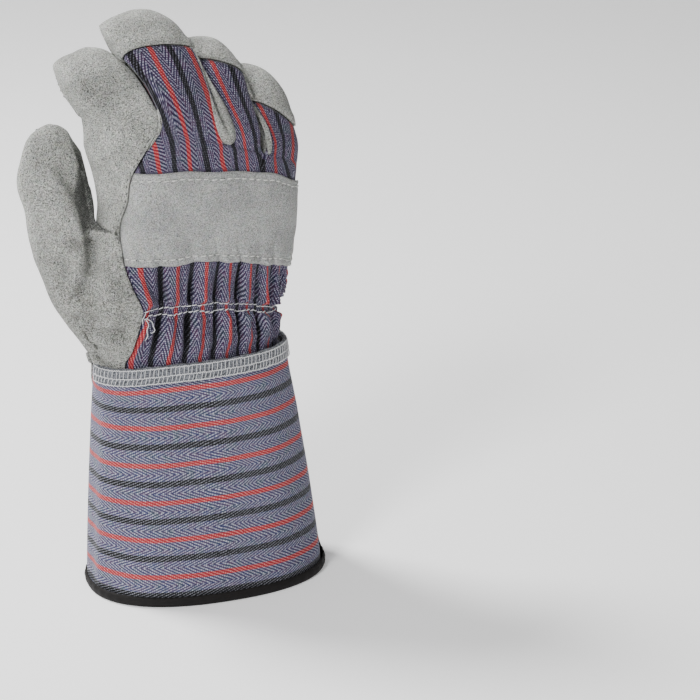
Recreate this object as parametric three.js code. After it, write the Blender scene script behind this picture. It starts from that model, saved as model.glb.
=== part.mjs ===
// Leather gauntlet glove for the right hand, standing upright on the hem of its cuff.
// Millimetres, +Z up. The origin is on the ground under the middle of the glove's bounding box.
// The back of the hand faces -Y, the palm faces +Y and the thumb points to -X.
//
// The hand is one skin of numbered columns and rows. It divides at the web of the thumb and at the
// crotches of the fingers like a pair of trousers, and each piece of leather or cloth is a set of
// its faces with a wall behind them. The cuff is a flattened tube with a slit on the little
// finger's side.
import * as THREE from 'three';

// The tables below are laid out from the middle of the hem. The glove's own middle lies here.
const gloveMiddle = { x: -12.44, y: 0.03 };

// Walls, and the room that neighbouring pieces leave each other
const leatherWall = 1.6;
const clothWall = 1.3;
const liningWall = 0.8;
const bindingWall = 1.0;
const seamInset = 0.36;
const layerGap = 0.3;
const thinnest = 0.18;
const fingerGap = 1.2;
const thumbGap = 2.4;

// Columns of the skin over each finger's breadth, over each edge of the hand, and round the cuff
const fingerColumns = [4, 5, 5, 4];
const thumbColumns = 4;
const sideColumns = 2;
const cuffColumns = 48;

// How far in from each edge the hand's flat sides end and its rounded edges begin
const edgeReach = 5;
const edgeTurn = 65 * Math.PI / 180;

// The cuff's sections, from the hem up to its top edge
const cuffHeight = 130;
const cuffRoundness = 2.3;
const cuff = table('z centreX centreY halfWidth halfDepth', [
  [0, -0.5, 0, 65, 43],
  [45, -3.5, 1, 60.5, 38],
  [90, -6, 2, 56, 33],
  [cuffHeight, -7.5, 3, 52, 28.5],
]);

// Rows of the cuff below its band. Those under closedAbove bend round the slit and the rounded
// corners of the hem. The lining ends below the cuff's top.
const closedAbove = 70;
const cuffRows = [0, 20, 45, closedAbove, 95];
const liningTop = 114;

// The slit in the cuff: its apex, its two edges as angles round the cuff (0 is the little finger's
// side, 90 the palm), and the roundness of its corners at the hem
const slit = { apexZ: 63, apexAngle: 28, frontAngle: 41, backAngle: 3, frontCorner: 12, backCorner: 4 };

// The binding that folds over the hem and the slit, and the overlocked band at the cuff's top
const binding = { width: 5.5, foldRoom: 1.9, startBelowApex: 2.2 };
const band = { low: 122, lip: 1.2, thickness: 1.5, startAngle: 186, endAngle: 379 };

// Sections of the hand. z is the height over the back at the thumb's side, fall what the row drops
// by at the little finger's edge and power how suddenly, and drop what the palm lies lower by.
// left, right, back and front are the reach of the hand's own oval, seam is where the back cloth
// begins and start where the hand's columns do. The thumb's oval (outer and inner edge, middle and
// half depth) swells the hand below the web and has no part in it above.
const hand = table('z fall power drop left right back front seam start outer inner middle depth', [
  [118, 0, 3, 0, -56.6, 41.8, -23.6, 29.4, -46, -50.0, -56.6, -40, 3, 0.1],
  [131, 0, 3, 0, -56.6, 41.6, -22.7, 28.6, -47, -50.0, -56.6, -40, 3, 0.1],
  [141, 3, 3, 0, -60.0, 42.3, -23.0, 27.0, -44, -53.0, -63.0, -35, 4, 12],
  [158, 12, 3, 0, -62.0, 42.0, -22.5, 26.5, -40, -55.0, -75.0, -30, 6, 18],
  [165, 14, 3, 0, -61.0, 43.0, -23.5, 27.0, -40, -55.5, -78.5, -30, 7, 18.5],
  [176, 15, 3, 0, -60.0, 47.0, -25.5, 27.5, -44.5, -55.5, -82.5, -36, 8, 18],
  [187, 15, 3, 0, -59.5, 49.5, -27.0, 27.0, -47.5, -55.5, -85.5, -45, 9, 17],
  [203, 16, 3, 0, -59.5, 51.5, -28.0, 25.0, -50.5, -55.0, -88, -55, 12, 15],
  [220, 17, 3, 4, -54.5, 52.5, -28.0, 23.0, -46.5, -50.5, -92, -55, 13, 15],
  [235.5, 16, 3, 9, -55.5, 53.5, -26.0, 21.5, -41, -50.5, -92, -55, 15, 15],
  [257, 27, 1.2, 16, -58.5, 54.5, -22.0, 21.0, -28, -53.5, -92, -55, 15, 15],
]);
const rowNames = ['tail', 'cuffTop', 'wrist', 'shirrLow', 'shirrHigh', 'heel', 'strapLow', 'web',
  'knuckle', 'strapHigh', 'crotch'];
const row = Object.fromEntries(rowNames.map((name, index) => [name, index]));
const handRoundness = 2.4;
const fallStart = -28;

// How far in from the hand's first column its middle leans over to the thumb's
const thumbLean = 22;

// Where the gaps between the fingers fall, as shares of the breadth. On the back they are shares of
// the cloth, from the seam to the little finger's edge, and on the palm of the whole breadth.
const backShares = [0, 0.48, 0.77, 1];
const palmShares = [0, 0.345, 0.565, 0.73, 1];

// Fingers and thumb: the bend of the middle line (knee), its tip, the breadth and depth at mid
// length, the breadth at the tip, the share of the length where the taper begins, the step where
// the leather cap of the tip begins, how much further along the rings lie on the thumb's side than
// on the other, and the roundness of the section
const fingerColumnNames = 'kneeX kneeY kneeZ tipX tipY tipZ breadth depth tipBreadth taper cap slant roundness';
const fingers = table(fingerColumnNames, [
  [-38, 2, 280, -56, 34, 283.5, 43, 30, 30, 0.55, 5, 0, 2.8],
  [-12, -3, 299, -34, 31, 301, 37, 26, 33, 0.6, 4, 0.06, 2.4],
  [19, 0, 284, -1, 38, 286, 28, 25, 28, 0.55, 4, 0.13, 2.3],
  [45, 2, 265, 33, 33, 268, 27, 23, 23, 0.45, 3, 0.18, 2.3],
]).rows;
const [thumb] = table(fingerColumnNames, [
  [-70, 22, 228, -70.5, 26, 254, 43, 27, 14, 0.3, 0, 0, 2],
]).rows;
const fingerSteps = [0, 0.13, 0.27, 0.42, 0.57, 0.72, 0.85, 0.94, 1];
const thumbSteps = [0, 0.16, 0.34, 0.52, 0.7, 0.84, 0.94, 1];
const rootBlend = 0.5;
const tipRounding = 0.28;
const seamShift = 0.25;
const fingerSideAngle = 22 * Math.PI / 180;
const cornerSpacing = 60 * Math.PI / 180;

// Gathers of the back cloth at the wrist, and the fold along the back of the thumb
const gatherDepth = 1.3;
const thumbFold = { x: -60, slant: 0.27, z: 212, depth: 4, breadth: 7, length: 24, fadeY: 10 };

// The patch of palm leather that laps over the outside of the cuff
const patch = { startAngle: 24, endAngle: 153, low: 98, cornerRise: 22, clearance: 0.6, top: 133 };

// A short table: column names in one string, one array for each row, and values between the rows
// by a smooth curve through them.
function table(names, values) {
  const columns = names.split(' ');
  const rows = values.map((line) => Object.fromEntries(columns.map((name, i) => [name, line[i]])));
  const last = rows.length - 1;
  const between = (name, place) => {
    const low = Math.min(Math.max(Math.floor(place), 0), last - 1);
    const share = place - low;
    const knot = (i) => rows[Math.min(Math.max(i, 0), last)][name];
    const [a, b, c, d] = [knot(low - 1), knot(low), knot(low + 1), knot(low + 2)];
    const rise = (c - a) / 2;
    const fallOff = (d - b) / 2;
    const square = share * share;
    const cube = square * share;
    return b * (2 * cube - 3 * square + 1) + rise * (cube - 2 * square + share)
      + c * (3 * square - 2 * cube) + fallOff * (cube - square);
  };
  const at = (place) => Object.fromEntries(columns.map((name) => [name, between(name, place)]));
  return { rows, at };
}

const mix = (a, b, share) => a + (b - a) * share;
const clamp = (value, low, high) => Math.min(Math.max(value, low), high);
const smooth = (value) => {
  const share = clamp(value, 0, 1);
  return share * share * (3 - 2 * share);
};
const steps = (count) => Array.from({ length: count + 1 }, (_, i) => i / count);
const vector = (x, y, z) => new THREE.Vector3(x, y, z);

// Height of an oval of the given roundness over its long axis, both of length one
const oval = (share, roundness) => (1 - Math.min(Math.abs(share), 1) ** roundness) ** (1 / roundness);

// Half depth and middle of the hand at x: the hand's oval and the thumb's oval run together
function handDepth(section, x, face) {
  const breadth = (section.right - section.left) / 2;
  const own = oval((x - section.left - breadth) / breadth, handRoundness);
  const middle = (section.back + section.front) / 2;
  const reach = face === 'back' ? middle - section.back : section.front - middle;
  const thumbBreadth = (section.inner - section.outer) / 2;
  const swell = oval((x - section.outer - thumbBreadth) / thumbBreadth, 2);
  const lean = 1 - smooth((x - section.outer) / (section.start + thumbLean - section.outer));
  const centre = mix(middle, section.middle, lean);
  const depth = Math.hypot(own * reach, swell * section.depth);
  return face === 'back' ? centre - depth : centre + depth;
}

// Height of a row at x: it falls away towards the little finger, and lies lower on the palm
function handHeight(section, x, face) {
  const share = clamp((x - fallStart) / (section.right - fallStart), 0, 1);
  return section.z - section.fall * share ** section.power - (face === 'front' ? section.drop : 0);
}

// A point on the back or the palm. across runs from 0 at the thumb's side to 4 at the little
// finger's side, one unit for each finger. Negative values run on over the thumb, to -1.
function facePoint(across, place, face) {
  const section = hand.at(place);
  const columnRight = section.right - edgeReach;
  const finger = clamp(Math.floor(across), 0, 3);
  const share = across - finger;
  let x;
  if (across < 0) {
    x = mix(section.start, section.outer + edgeReach, Math.sin(-across * Math.PI / 2));
  } else if (face === 'front') {
    x = mix(section.start, columnRight, mix(palmShares[finger], palmShares[finger + 1], share));
  } else if (finger === 0) {
    x = mix(section.start, section.seam, share);
  } else {
    x = mix(section.seam, columnRight, mix(backShares[finger - 1], backShares[finger], share));
  }
  return vector(x, handDepth(section, x, face), handHeight(section, x, face));
}

// A rounded edge between two points, bulging by edgeReach towards the given side
function edgePoint(from, to, share, side) {
  const turn = (2 * share - 1) * edgeTurn;
  const bulge = edgeReach * (Math.cos(turn) - Math.cos(edgeTurn)) / (1 - Math.cos(edgeTurn));
  const along = (1 + Math.sin(turn) / Math.sin(edgeTurn)) / 2;
  const point = from.clone().lerp(to, along);
  point.x += side * bulge;
  return point;
}

// The columns of the hand from the thumb's side to the little finger's side
function handColumns(first = 0, last = 4) {
  const columns = [];
  for (let finger = first; finger < last; finger += 1) {
    for (let i = 0; i < fingerColumns[finger]; i += 1) columns.push(finger + i / fingerColumns[finger]);
  }
  return [...columns, last];
}
const thumbAcross = steps(thumbColumns).map((share) => -1 + share);
const backwards = (list) => [...list].reverse();

// Grids of points, one array for each row. Columns run anticlockwise seen from above.
const grid = (places, columns, point) => places.map((place) => columns.map((column) => point(column, place)));
const rowsFrom = (low, high) => Array.from({ length: high - low + 1 }, (_, i) => low + i);
const backGrid = (low, high, columns) => grid(rowsFrom(low, high), columns, (c, p) => facePoint(c, p, 'back'));
const palmGrid = (low, high, columns) => grid(rowsFrom(low, high), backwards(columns), (c, p) => facePoint(c, p, 'front'));
const littleEdge = (low, high) => grid(rowsFrom(low, high), steps(sideColumns), (share, place) => (
  edgePoint(facePoint(4, place, 'back'), facePoint(4, place, 'front'), share, 1)));
const webEdge = (low, high) => grid(rowsFrom(low, high), steps(sideColumns), (share, place) => (
  edgePoint(facePoint(0, place, 'front'), facePoint(0, place, 'back'), share, -1)));
const thumbEdge = (low, high) => grid(rowsFrom(low, high), steps(sideColumns), (share, place) => (
  edgePoint(facePoint(-1, place, 'front'), facePoint(-1, place, 'back'), share, -1)));

// The middle line of a finger, from its root to its tip
function middleLine(root, shape) {
  const corners = root.flatMap((side) => side.slice(0, -1));
  const start = corners.reduce((sum, p) => sum.add(p), vector(0, 0, 0)).divideScalar(corners.length);
  const knee = vector(shape.kneeX, shape.kneeY, shape.kneeZ);
  const tip = vector(shape.tipX, shape.tipY, shape.tipZ);
  return new THREE.QuadraticBezierCurve3(start, knee, tip);
}

// A point of a finger's section at a step along its middle line. x and y are shares of the half
// breadth and the half depth. The section is deeper on the palm than on the back, and sits
// further back towards the tip, so that the seam round the tip lies near the nail.
function fingerPoint(line, shape, step, x, y) {
  const tangent = line.getTangent(step);
  const across = vector(1, 0, 0).addScaledVector(tangent, -tangent.x).normalize();
  const palmward = tangent.clone().cross(across);
  const closing = clamp((step - shape.taper) / (1 - shape.taper), 0, 1);
  const rounding = 1 - tipRounding * clamp((step - 0.8) / 0.2, 0, 1) ** 2;
  const halfDepth = shape.depth / 2 * Math.sqrt(Math.max(1 - closing ** 2.2, 0));
  const halfBreadth = mix(shape.breadth, shape.tipBreadth, closing ** 2) / 2 * rounding;
  const deep = halfDepth * y * (1 + seamShift * Math.sign(y)) - seamShift * shape.depth / 2 * smooth(step);
  return line.getPoint(step).addScaledVector(across, x * halfBreadth).addScaledVector(palmward, deep);
}

// A tube that grows from a closed ring of root points and ends in a flat tip. The root is given as
// its four sides: back, far side, palm, near side, each a list of points that share their corners.
function fingerTube(root, shape, stepList, keepApart) {
  const line = middleLine(root, shape);
  const start = line.getPoint(0);
  const spread = Math.cos(fingerSideAngle) ** (2 / shape.roundness);
  const flat = (share, sign) => {
    const x = Math.sin((2 * share - 1) * cornerSpacing) / Math.sin(cornerSpacing) * spread;
    return [x, sign * oval(x, shape.roundness)];
  };
  const side = (share, sign) => {
    const turn = (2 * share - 1) * fingerSideAngle;
    const y = Math.sign(turn) * Math.abs(Math.sin(turn)) ** (2 / shape.roundness);
    return [sign * Math.cos(turn) ** (2 / shape.roundness), sign * y];
  };
  const outline = [(share) => flat(share, -1), (share) => side(share, 1),
    (share) => flat(1 - share, 1), (share) => side(share, -1)];
  const capStep = stepList[shape.cap];
  return root.map((points, index) => stepList.map((step) => points.map((point, i) => {
    if (step === 0) return point;
    const [bulge, y] = outline[index](i / (points.length - 1));
    const x = step === 1 ? clamp(bulge, -spread, spread) : bulge;
    const nearCap = step < capStep ? step / capStep : (1 - step) / (1 - capStep);
    const place = step - x * shape.slant * nearCap;
    const carried = point.clone().add(line.getPoint(step)).sub(start);
    const settled = carried.lerp(fingerPoint(line, shape, place, x, y), smooth(step / rootBlend));
    return keepApart(settled, step);
  })));
}

// Neighbouring fingers press flat against the surface that runs midway between their middle lines
function betweenFingers(lines, index) {
  const crotch = crotchChain(index + 1)[1];
  const middle = (step) => lines[index].getPoint(step).add(lines[index + 1].getPoint(step)).multiplyScalar(0.5);
  const offset = crotch.sub(middle(0));
  return (step) => {
    const along = middle(Math.min(step + 0.01, 1)).sub(middle(step - 0.01)).normalize();
    const across = lines[index + 1].getPoint(step).sub(lines[index].getPoint(step));
    across.addScaledVector(along, -across.dot(along)).normalize();
    return { across, point: middle(step).addScaledVector(offset, 1 - smooth(step / rootBlend)) };
  };
}

function pressApart(point, { across, point: on }, sign) {
  const past = sign * (across.dot(point) - across.dot(on)) + fingerGap / 2;
  if (past > 0) point.addScaledVector(across, -sign * past);
}

// The thumb presses flat against the hand's edge beside it
function besideHand(point) {
  const [web, knuckle, strapHigh] = [row.web, row.knuckle, row.strapHigh].map((index) => hand.rows[index].z);
  const place = row.web + clamp((point.z - web) / (knuckle - web), 0, 1)
    + clamp((point.z - knuckle) / (strapHigh - knuckle), 0, 1);
  const section = hand.at(place);
  const x = Math.max(point.x, section.start);
  const inFront = point.y > handDepth(section, x, 'front') + fingerGap;
  if (!inFront) point.x = Math.min(point.x, section.start - edgeReach - thumbGap);
  return point;
}

// The little gap between two fingers at their crotch: a chain from the back to the palm
function crotchChain(across) {
  const from = facePoint(across, row.crotch, 'back');
  const to = facePoint(across, row.crotch, 'front');
  return steps(sideColumns).map((share) => from.clone().lerp(to, share));
}

function fingerRoot(index) {
  const columns = handColumns(index, index + 1);
  const near = index === 0 ? webEdge(row.crotch, row.crotch)[0] : backwards(crotchChain(index));
  const far = index === 3 ? littleEdge(row.crotch, row.crotch)[0] : crotchChain(index + 1);
  return [backGrid(row.crotch, row.crotch, columns)[0], far, palmGrid(row.crotch, row.crotch, columns)[0], near];
}

function thumbRoot() {
  const far = backwards(webEdge(row.web, row.web)[0]);
  return [backGrid(row.web, row.web, thumbAcross)[0], far, palmGrid(row.web, row.web, thumbAcross)[0],
    thumbEdge(row.web, row.web)[0]];
}

// The fold along the back of the thumb: a hollow beside the web, under a ridge
function foldThumb(point) {
  const across = (point.x - thumbFold.x + thumbFold.slant * (point.z - thumbFold.z)) / thumbFold.breadth;
  const along = (point.z - thumbFold.z) / thumbFold.length;
  const behind = smooth((thumbFold.fadeY - point.y) / thumbFold.fadeY);
  point.y += thumbFold.depth * behind * Math.exp(-across * across - along * along);
}

// Gathers: every other column of the back cloth is drawn in between the strap and the cuff
function gather(points, low) {
  return points.map((line, rowIndex) => line.map((point, i) => {
    const place = rowIndex + low;
    const amount = place > row.cuffTop && place < row.strapLow ? gatherDepth * (i % 2) : 0;
    return point.clone().add(vector(0, amount, 0));
  }));
}

// A point on the cuff: angle in degrees round it, height, and distance out from its outside
function cuffPoint(angle, z, out = 0) {
  const heights = cuff.rows.map((line) => line.z);
  const low = clamp(heights.findIndex((height) => height > z) - 1, 0, heights.length - 2);
  const index = z >= heights[heights.length - 1] ? heights.length - 2 : low;
  const section = cuff.at(index + (z - heights[index]) / (heights[index + 1] - heights[index]));
  const turn = (angle % 360) * Math.PI / 180;
  const power = 2 / cuffRoundness;
  const halfWidth = section.halfWidth + out;
  const halfDepth = section.halfDepth + out;
  return vector(
    section.centreX + halfWidth * Math.sign(Math.cos(turn)) * Math.abs(Math.cos(turn)) ** power,
    section.centreY + halfDepth * Math.sign(Math.sin(turn)) * Math.abs(Math.sin(turn)) ** power,
    z,
  );
}

// Millimetres round the cuff for each degree, at the slit
function slitScale(z) {
  return cuffPoint(slit.apexAngle - 4, z).distanceTo(cuffPoint(slit.apexAngle + 4, z)) / 8;
}

// The two edges of the slit at a height, as angles, moved back from the opening by inset
function slitEdges(z, inset) {
  const share = clamp((slit.apexZ - z) / slit.apexZ, 0, 1);
  const angleOff = inset / slitScale(z);
  const front = mix(slit.apexAngle, slit.frontAngle, share) + angleOff;
  const back = mix(slit.apexAngle, slit.backAngle, share) - angleOff;
  const closeAt = slit.apexZ + 3.2 * inset;
  const open = smooth((closeAt - z) / Math.max(closeAt - slit.apexZ, 0.01));
  return [mix(slit.apexAngle, front, open), mix(slit.apexAngle, back, open) + 360];
}

// Height of the hem at a place round the cuff: nought, but rounded up to the slit at both corners
function hemHeight(distanceFront, distanceBack) {
  const lift = (distance, radius) => {
    const left = Math.max(radius - distance, 0);
    return radius - Math.sqrt(radius * radius - left * left);
  };
  return lift(distanceFront, slit.frontCorner) + lift(distanceBack, slit.backCorner);
}

// Columns of the cuff, closer together beside the slit
const cuffShares = steps(cuffColumns).map((share) => share - 0.6 * Math.sin(2 * Math.PI * share) / (2 * Math.PI));

function cuffGrid(inset, heights) {
  const ends = slitEdges(inset, inset);
  const scale = slitScale(0);
  const columns = cuffShares.map((share) => {
    const angle = mix(ends[0], ends[1], share);
    return { share, low: inset + hemHeight((angle - ends[0]) * scale, (ends[1] - angle) * scale) };
  });
  return heights.map((height) => columns.map(({ share, low }) => {
    const z = Math.max(mix(low, closedAbove, height / closedAbove), height);
    const [from, to] = slitEdges(z, inset);
    return cuffPoint(mix(from, to, share), z);
  }));
}

// Joins grids of points into one skin. Points that fall together become one, and every point gets
// the normal of the faces round it and the share of the wall's depth that it can take: less where
// the skin folds sharply.
function weld(pieces, dent = () => {}) {
  const points = [];
  const index = new Map();
  const find = (point) => {
    const key = [point.x, point.y, point.z].map((value) => Math.round(value * 1000)).join();
    if (!index.has(key)) {
      index.set(key, points.length);
      points.push(point);
    }
    return index.get(key);
  };
  const faces = {};
  for (const [name, grids] of Object.entries(pieces)) {
    faces[name] = [];
    for (const lines of grids) {
      for (let j = 0; j + 1 < lines.length; j += 1) {
        for (let i = 0; i + 1 < lines[j].length; i += 1) {
          const loop = [lines[j][i], lines[j][i + 1], lines[j + 1][i + 1], lines[j + 1][i]].map(find);
          faces[name].push(...split([...new Set(loop)], points));
        }
      }
    }
  }
  points.forEach(dent);
  const normals = points.map(() => vector(0, 0, 0));
  for (const face of Object.values(faces).flat()) {
    const [a, b, c] = face.map((i) => points[i]);
    const normal = b.clone().sub(a).cross(c.clone().sub(a));
    face.forEach((i) => normals[i].add(normal));
  }
  normals.forEach((normal) => normal.normalize());
  const depths = points.map(() => 1);
  for (const face of Object.values(faces).flat()) {
    const [a, b, c] = face.map((i) => points[i]);
    const normal = b.clone().sub(a).cross(c.clone().sub(a)).normalize();
    face.forEach((i) => { depths[i] = Math.min(depths[i], Math.max(normal.dot(normals[i]), thinnest)); });
  }
  return { points, normals, depths, faces };
}

// Cuts a face of four corners along its shorter diagonal
function split(loop, points) {
  if (loop.length < 3) return [];
  if (loop.length === 3) return [loop];
  const [a, b, c, d] = loop;
  const across = points[a].distanceTo(points[c]) <= points[b].distanceTo(points[d]);
  return across ? [[a, b, c], [a, c, d]] : [[a, b, d], [b, c, d]];
}

// Gives a set of the skin's faces a wall: the outside lies `out` off the skin and the inside
// `thickness` deeper. Its free edges are drawn in by the seam's inset.
function thicken(skin, faces, out, thickness) {
  const used = [...new Set(faces.flat())];
  const slot = new Map(used.map((point, i) => [point, i]));
  const edges = new Map();
  for (const [a, b, c] of faces) {
    for (const [from, to] of [[a, b], [b, c], [c, a]]) edges.set(`${from},${to}`, [from, to]);
  }
  const rim = [...edges.values()].filter(([from, to]) => !edges.has(`${to},${from}`));
  const pulls = new Map();
  for (const edge of rim) {
    const along = skin.points[edge[1]].clone().sub(skin.points[edge[0]]);
    for (const i of edge) {
      const pull = skin.normals[i].clone().cross(along).normalize();
      pulls.set(i, [...(pulls.get(i) ?? []), pull]);
    }
  }
  const inset = (i) => {
    const pull = pulls.get(i).reduce((sum, one) => sum.add(one), vector(0, 0, 0)).normalize();
    const slope = Math.min(...pulls.get(i).map((one) => one.dot(pull)));
    return pull.multiplyScalar(seamInset / Math.max(slope, 0.35));
  };
  const positions = [];
  for (const deeper of [0, thickness]) {
    for (const i of used) {
      const point = skin.points[i].clone().addScaledVector(skin.normals[i], out - deeper * skin.depths[i]);
      if (pulls.has(i)) point.add(inset(i));
      positions.push(point.x, point.y, point.z);
    }
  }
  const deep = used.length;
  const triangles = [];
  for (const [a, b, c] of faces.map((face) => face.map((i) => slot.get(i)))) {
    triangles.push(a, b, c, c + deep, b + deep, a + deep);
  }
  for (const [from, to] of rim.map((edge) => edge.map((i) => slot.get(i)))) {
    triangles.push(to, from, from + deep, to, from + deep, to + deep);
  }
  return solid(positions, triangles);
}

function solid(positions, triangles) {
  const geometry = new THREE.BufferGeometry();
  geometry.setAttribute('position', new THREE.Float32BufferAttribute(positions, 3));
  geometry.setIndex(triangles);
  geometry.computeVertexNormals();
  return geometry;
}

// A closed bar: the same outline at every station, with both ends capped. cap lists the outline's
// corners as triangles, seen from the bar's start.
function bar(stations, cap) {
  const count = stations[0].length;
  const positions = stations.flat().flatMap((p) => [p.x, p.y, p.z]);
  const triangles = [];
  for (let j = 0; j + 1 < stations.length; j += 1) {
    for (let i = 0; i < count; i += 1) {
      const [a, b] = [j * count + i, j * count + (i + 1) % count];
      triangles.push(a, b, b + count, a, b + count, a + count);
    }
  }
  const end = (stations.length - 1) * count;
  for (const [a, b, c] of cap) triangles.push(a, c, b, end + a, end + b, end + c);
  return solid(positions, triangles);
}

// The hem's binding: a U section that runs down the slit's front edge, round the hem and up the
// slit's back edge. `round` is degrees round the cuff and `in` the way into the cloth.
function bindingGeometry() {
  const scale = slitScale(0);
  const startZ = slit.apexZ - binding.startBelowApex;
  const route = [];
  const leg = (side, corner) => steps(5).map((share) => {
    const z = mix(startZ, corner, share);
    const edges = slitEdges(z, 0);
    return { angle: edges[side], z };
  });
  route.push(...leg(0, slit.frontCorner));
  const [from, to] = slitEdges(0, 0);
  for (const share of cuffShares.slice(1, -1)) {
    const angle = mix(from, to, share);
    route.push({ angle, z: hemHeight((angle - from) * scale, (to - angle) * scale) });
  }
  route.push(...backwards(leg(1, slit.backCorner)));
  const flat = route.map(({ angle, z }) => new THREE.Vector2(angle * scale, z));
  const outside = 2.5 * layerGap;
  const inside = -(clothWall + liningWall + 5 * layerGap);
  const section = [
    [outside + bindingWall, binding.width], [outside + bindingWall, 0],
    [inside - bindingWall, 0], [inside - bindingWall, binding.width],
    [inside, binding.width], [inside, bindingWall], [outside, bindingWall], [outside, binding.width],
  ];
  const stations = flat.map((place, i) => {
    const before = flat[Math.max(i - 1, 0)];
    const after = flat[Math.min(i + 1, flat.length - 1)];
    const run = after.clone().sub(before).normalize();
    const onHem = place.y < 0.01;
    const into = onHem ? new THREE.Vector2(0, 1) : new THREE.Vector2(-run.y, run.x);
    return section.map(([out, depth]) => cuffPoint(
      (place.x + into.x * depth) / scale, place.y + into.y * depth, out));
  });
  return bar(stations, [[0, 1, 7], [1, 6, 7], [1, 2, 6], [2, 5, 6], [2, 3, 5], [3, 4, 5]]);
}

// The overlocked band along the back half of the cuff's top edge, with a lip over the edge
function bandGeometry() {
  const top = cuffHeight + layerGap;
  const lipDepth = -clothWall + 0.1;
  const section = [
    [layerGap + band.thickness, band.low], [layerGap, band.low], [layerGap, top],
    [lipDepth, top], [lipDepth, top + band.lip], [layerGap + band.thickness, top + band.lip],
  ];
  const angles = cuffShares.map((share) => slit.apexAngle + 360 * share)
    .filter((angle) => angle > band.startAngle + 2 && angle < band.endAngle - 2);
  const stations = [band.startAngle, ...angles, band.endAngle].map((angle) => (
    section.map(([out, z]) => cuffPoint(angle, z, out))));
  return bar(stations, [[0, 1, 2], [0, 2, 5], [2, 3, 4], [2, 4, 5]]);
}

// The palm leather below the wrist: it flares out from the hand and lies over the cuff
function patchGrid() {
  const columns = [...backwards(handColumns()), ...backwards(thumbAcross).slice(1)];
  const out = patch.clearance + leatherWall;
  const lines = [0, 0.35, 0.7, 1].map((share) => columns.map((column, i) => {
    const along = i / (columns.length - 1);
    const off = Math.max(Math.abs(2 * along - 1) - 0.5, 0) / 0.5;
    const low = patch.low + patch.cornerRise * (1 - Math.sqrt(Math.max(1 - off ** 3, 0)));
    const angle = mix(patch.startAngle, patch.endAngle, along);
    return cuffPoint(angle, mix(low, patch.top, share), out);
  }));
  return [...lines, columns.map((column) => facePoint(column, row.wrist, 'front'))];
}

// All the pieces of the hand as grids of points
function handPieces() {
  const cloth = handColumns(1, 4);
  const index = handColumns(0, 1);
  const lines = fingers.map((shape, i) => middleLine(fingerRoot(i), shape));
  const between = [0, 1, 2].map((i) => betweenFingers(lines, i));
  const tubes = fingers.map((shape, i) => fingerTube(fingerRoot(i), shape, fingerSteps, (point, step) => {
    if (i > 0) pressApart(point, between[i - 1](step), -1);
    if (i < 3) pressApart(point, between[i](step), 1);
    return point;
  }));
  const thumbTube = fingerTube(thumbRoot(), thumb, thumbSteps, besideHand);
  const [thumbBack, thumbInner, thumbPalm, thumbOuter] = thumbTube;
  const below = (finger, side) => tubes[finger][side].slice(0, fingers[finger].cap + 1);
  const beyond = (finger, side) => tubes[finger][side].slice(fingers[finger].cap);
  const [backSide, farSide, palmSide, nearSide] = [0, 1, 2, 3];
  const tipCap = (finger) => [backSide, farSide, nearSide].map((side) => beyond(finger, side));
  const wristPalm = [...backwards(handColumns()), ...backwards(thumbAcross).slice(1)];
  return {
    palm_leather: [
      patchGrid(),
      grid(rowsFrom(row.wrist, row.web), wristPalm, (c, p) => facePoint(c, p, 'front')),
      palmGrid(row.web, row.crotch, handColumns()),
      tubes[0][palmSide], tubes[3][palmSide], thumbPalm,
    ],
    middle_finger_front: [tubes[1][palmSide]],
    ring_finger_front: [tubes[2][palmSide]],
    index_back_leather: [
      backGrid(row.web, row.crotch, index), webEdge(row.web, row.crotch),
      tubes[0][backSide], tubes[0][nearSide], beyond(0, farSide),
    ],
    thumb_back_leather: [
      backGrid(row.tail, row.web, thumbAcross), backGrid(row.tail, row.web, index),
      thumbEdge(row.tail, row.web), thumbBack, thumbInner, thumbOuter,
    ],
    back_fabric: [
      gather(backGrid(row.tail, row.crotch, cloth), row.tail), littleEdge(row.tail, row.crotch),
      below(1, backSide), below(2, backSide), below(3, backSide), below(3, farSide),
    ],
    fingertip_middle: tipCap(1),
    fingertip_ring: tipCap(2),
    fingertip_little: tipCap(3),
    fourchette_index_middle: [below(0, farSide), below(1, nearSide)],
    fourchette_middle_ring: [below(1, farSide), below(2, nearSide)],
    fourchette_ring_little: [below(2, farSide), below(3, nearSide)],
  };
}

// Finishes: plain colour, roughness and no metal
const finishes = {
  leather: { color: 0xa9aba7, roughness: 0.95 },
  stripedCloth: { color: 0x565b86, roughness: 0.9 },
  edging: { color: 0x8b8f9b, roughness: 0.9 },
  lining: { color: 0x5c6a66, roughness: 0.95 },
  binding: { color: 0x1d191b, roughness: 0.8 },
};

const glove = new THREE.Group();

function add(name, geometry, finish) {
  geometry.translate(-gloveMiddle.x, -gloveMiddle.y, 0);
  const mesh = new THREE.Mesh(geometry, new THREE.MeshStandardMaterial({ ...finishes[finish], metalness: 0 }));
  mesh.name = name;
  glove.add(mesh);
}

const pieces = handPieces();
const skin = weld(pieces, foldThumb);
for (const name of Object.keys(pieces)) {
  const isCloth = name === 'back_fabric';
  add(name, thicken(skin, skin.faces[name], 0, isCloth ? clothWall : leatherWall), isCloth ? 'stripedCloth' : 'leather');
}

// The knuckle strap lies on the back cloth
const strapSkin = weld({
  cloth: [backGrid(row.strapLow, row.strapHigh, handColumns(1, 4)), littleEdge(row.strapLow, row.strapHigh)],
});
add('knuckle_strap', thicken(strapSkin, strapSkin.faces.cloth, layerGap + leatherWall, leatherWall), 'leather');

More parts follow.
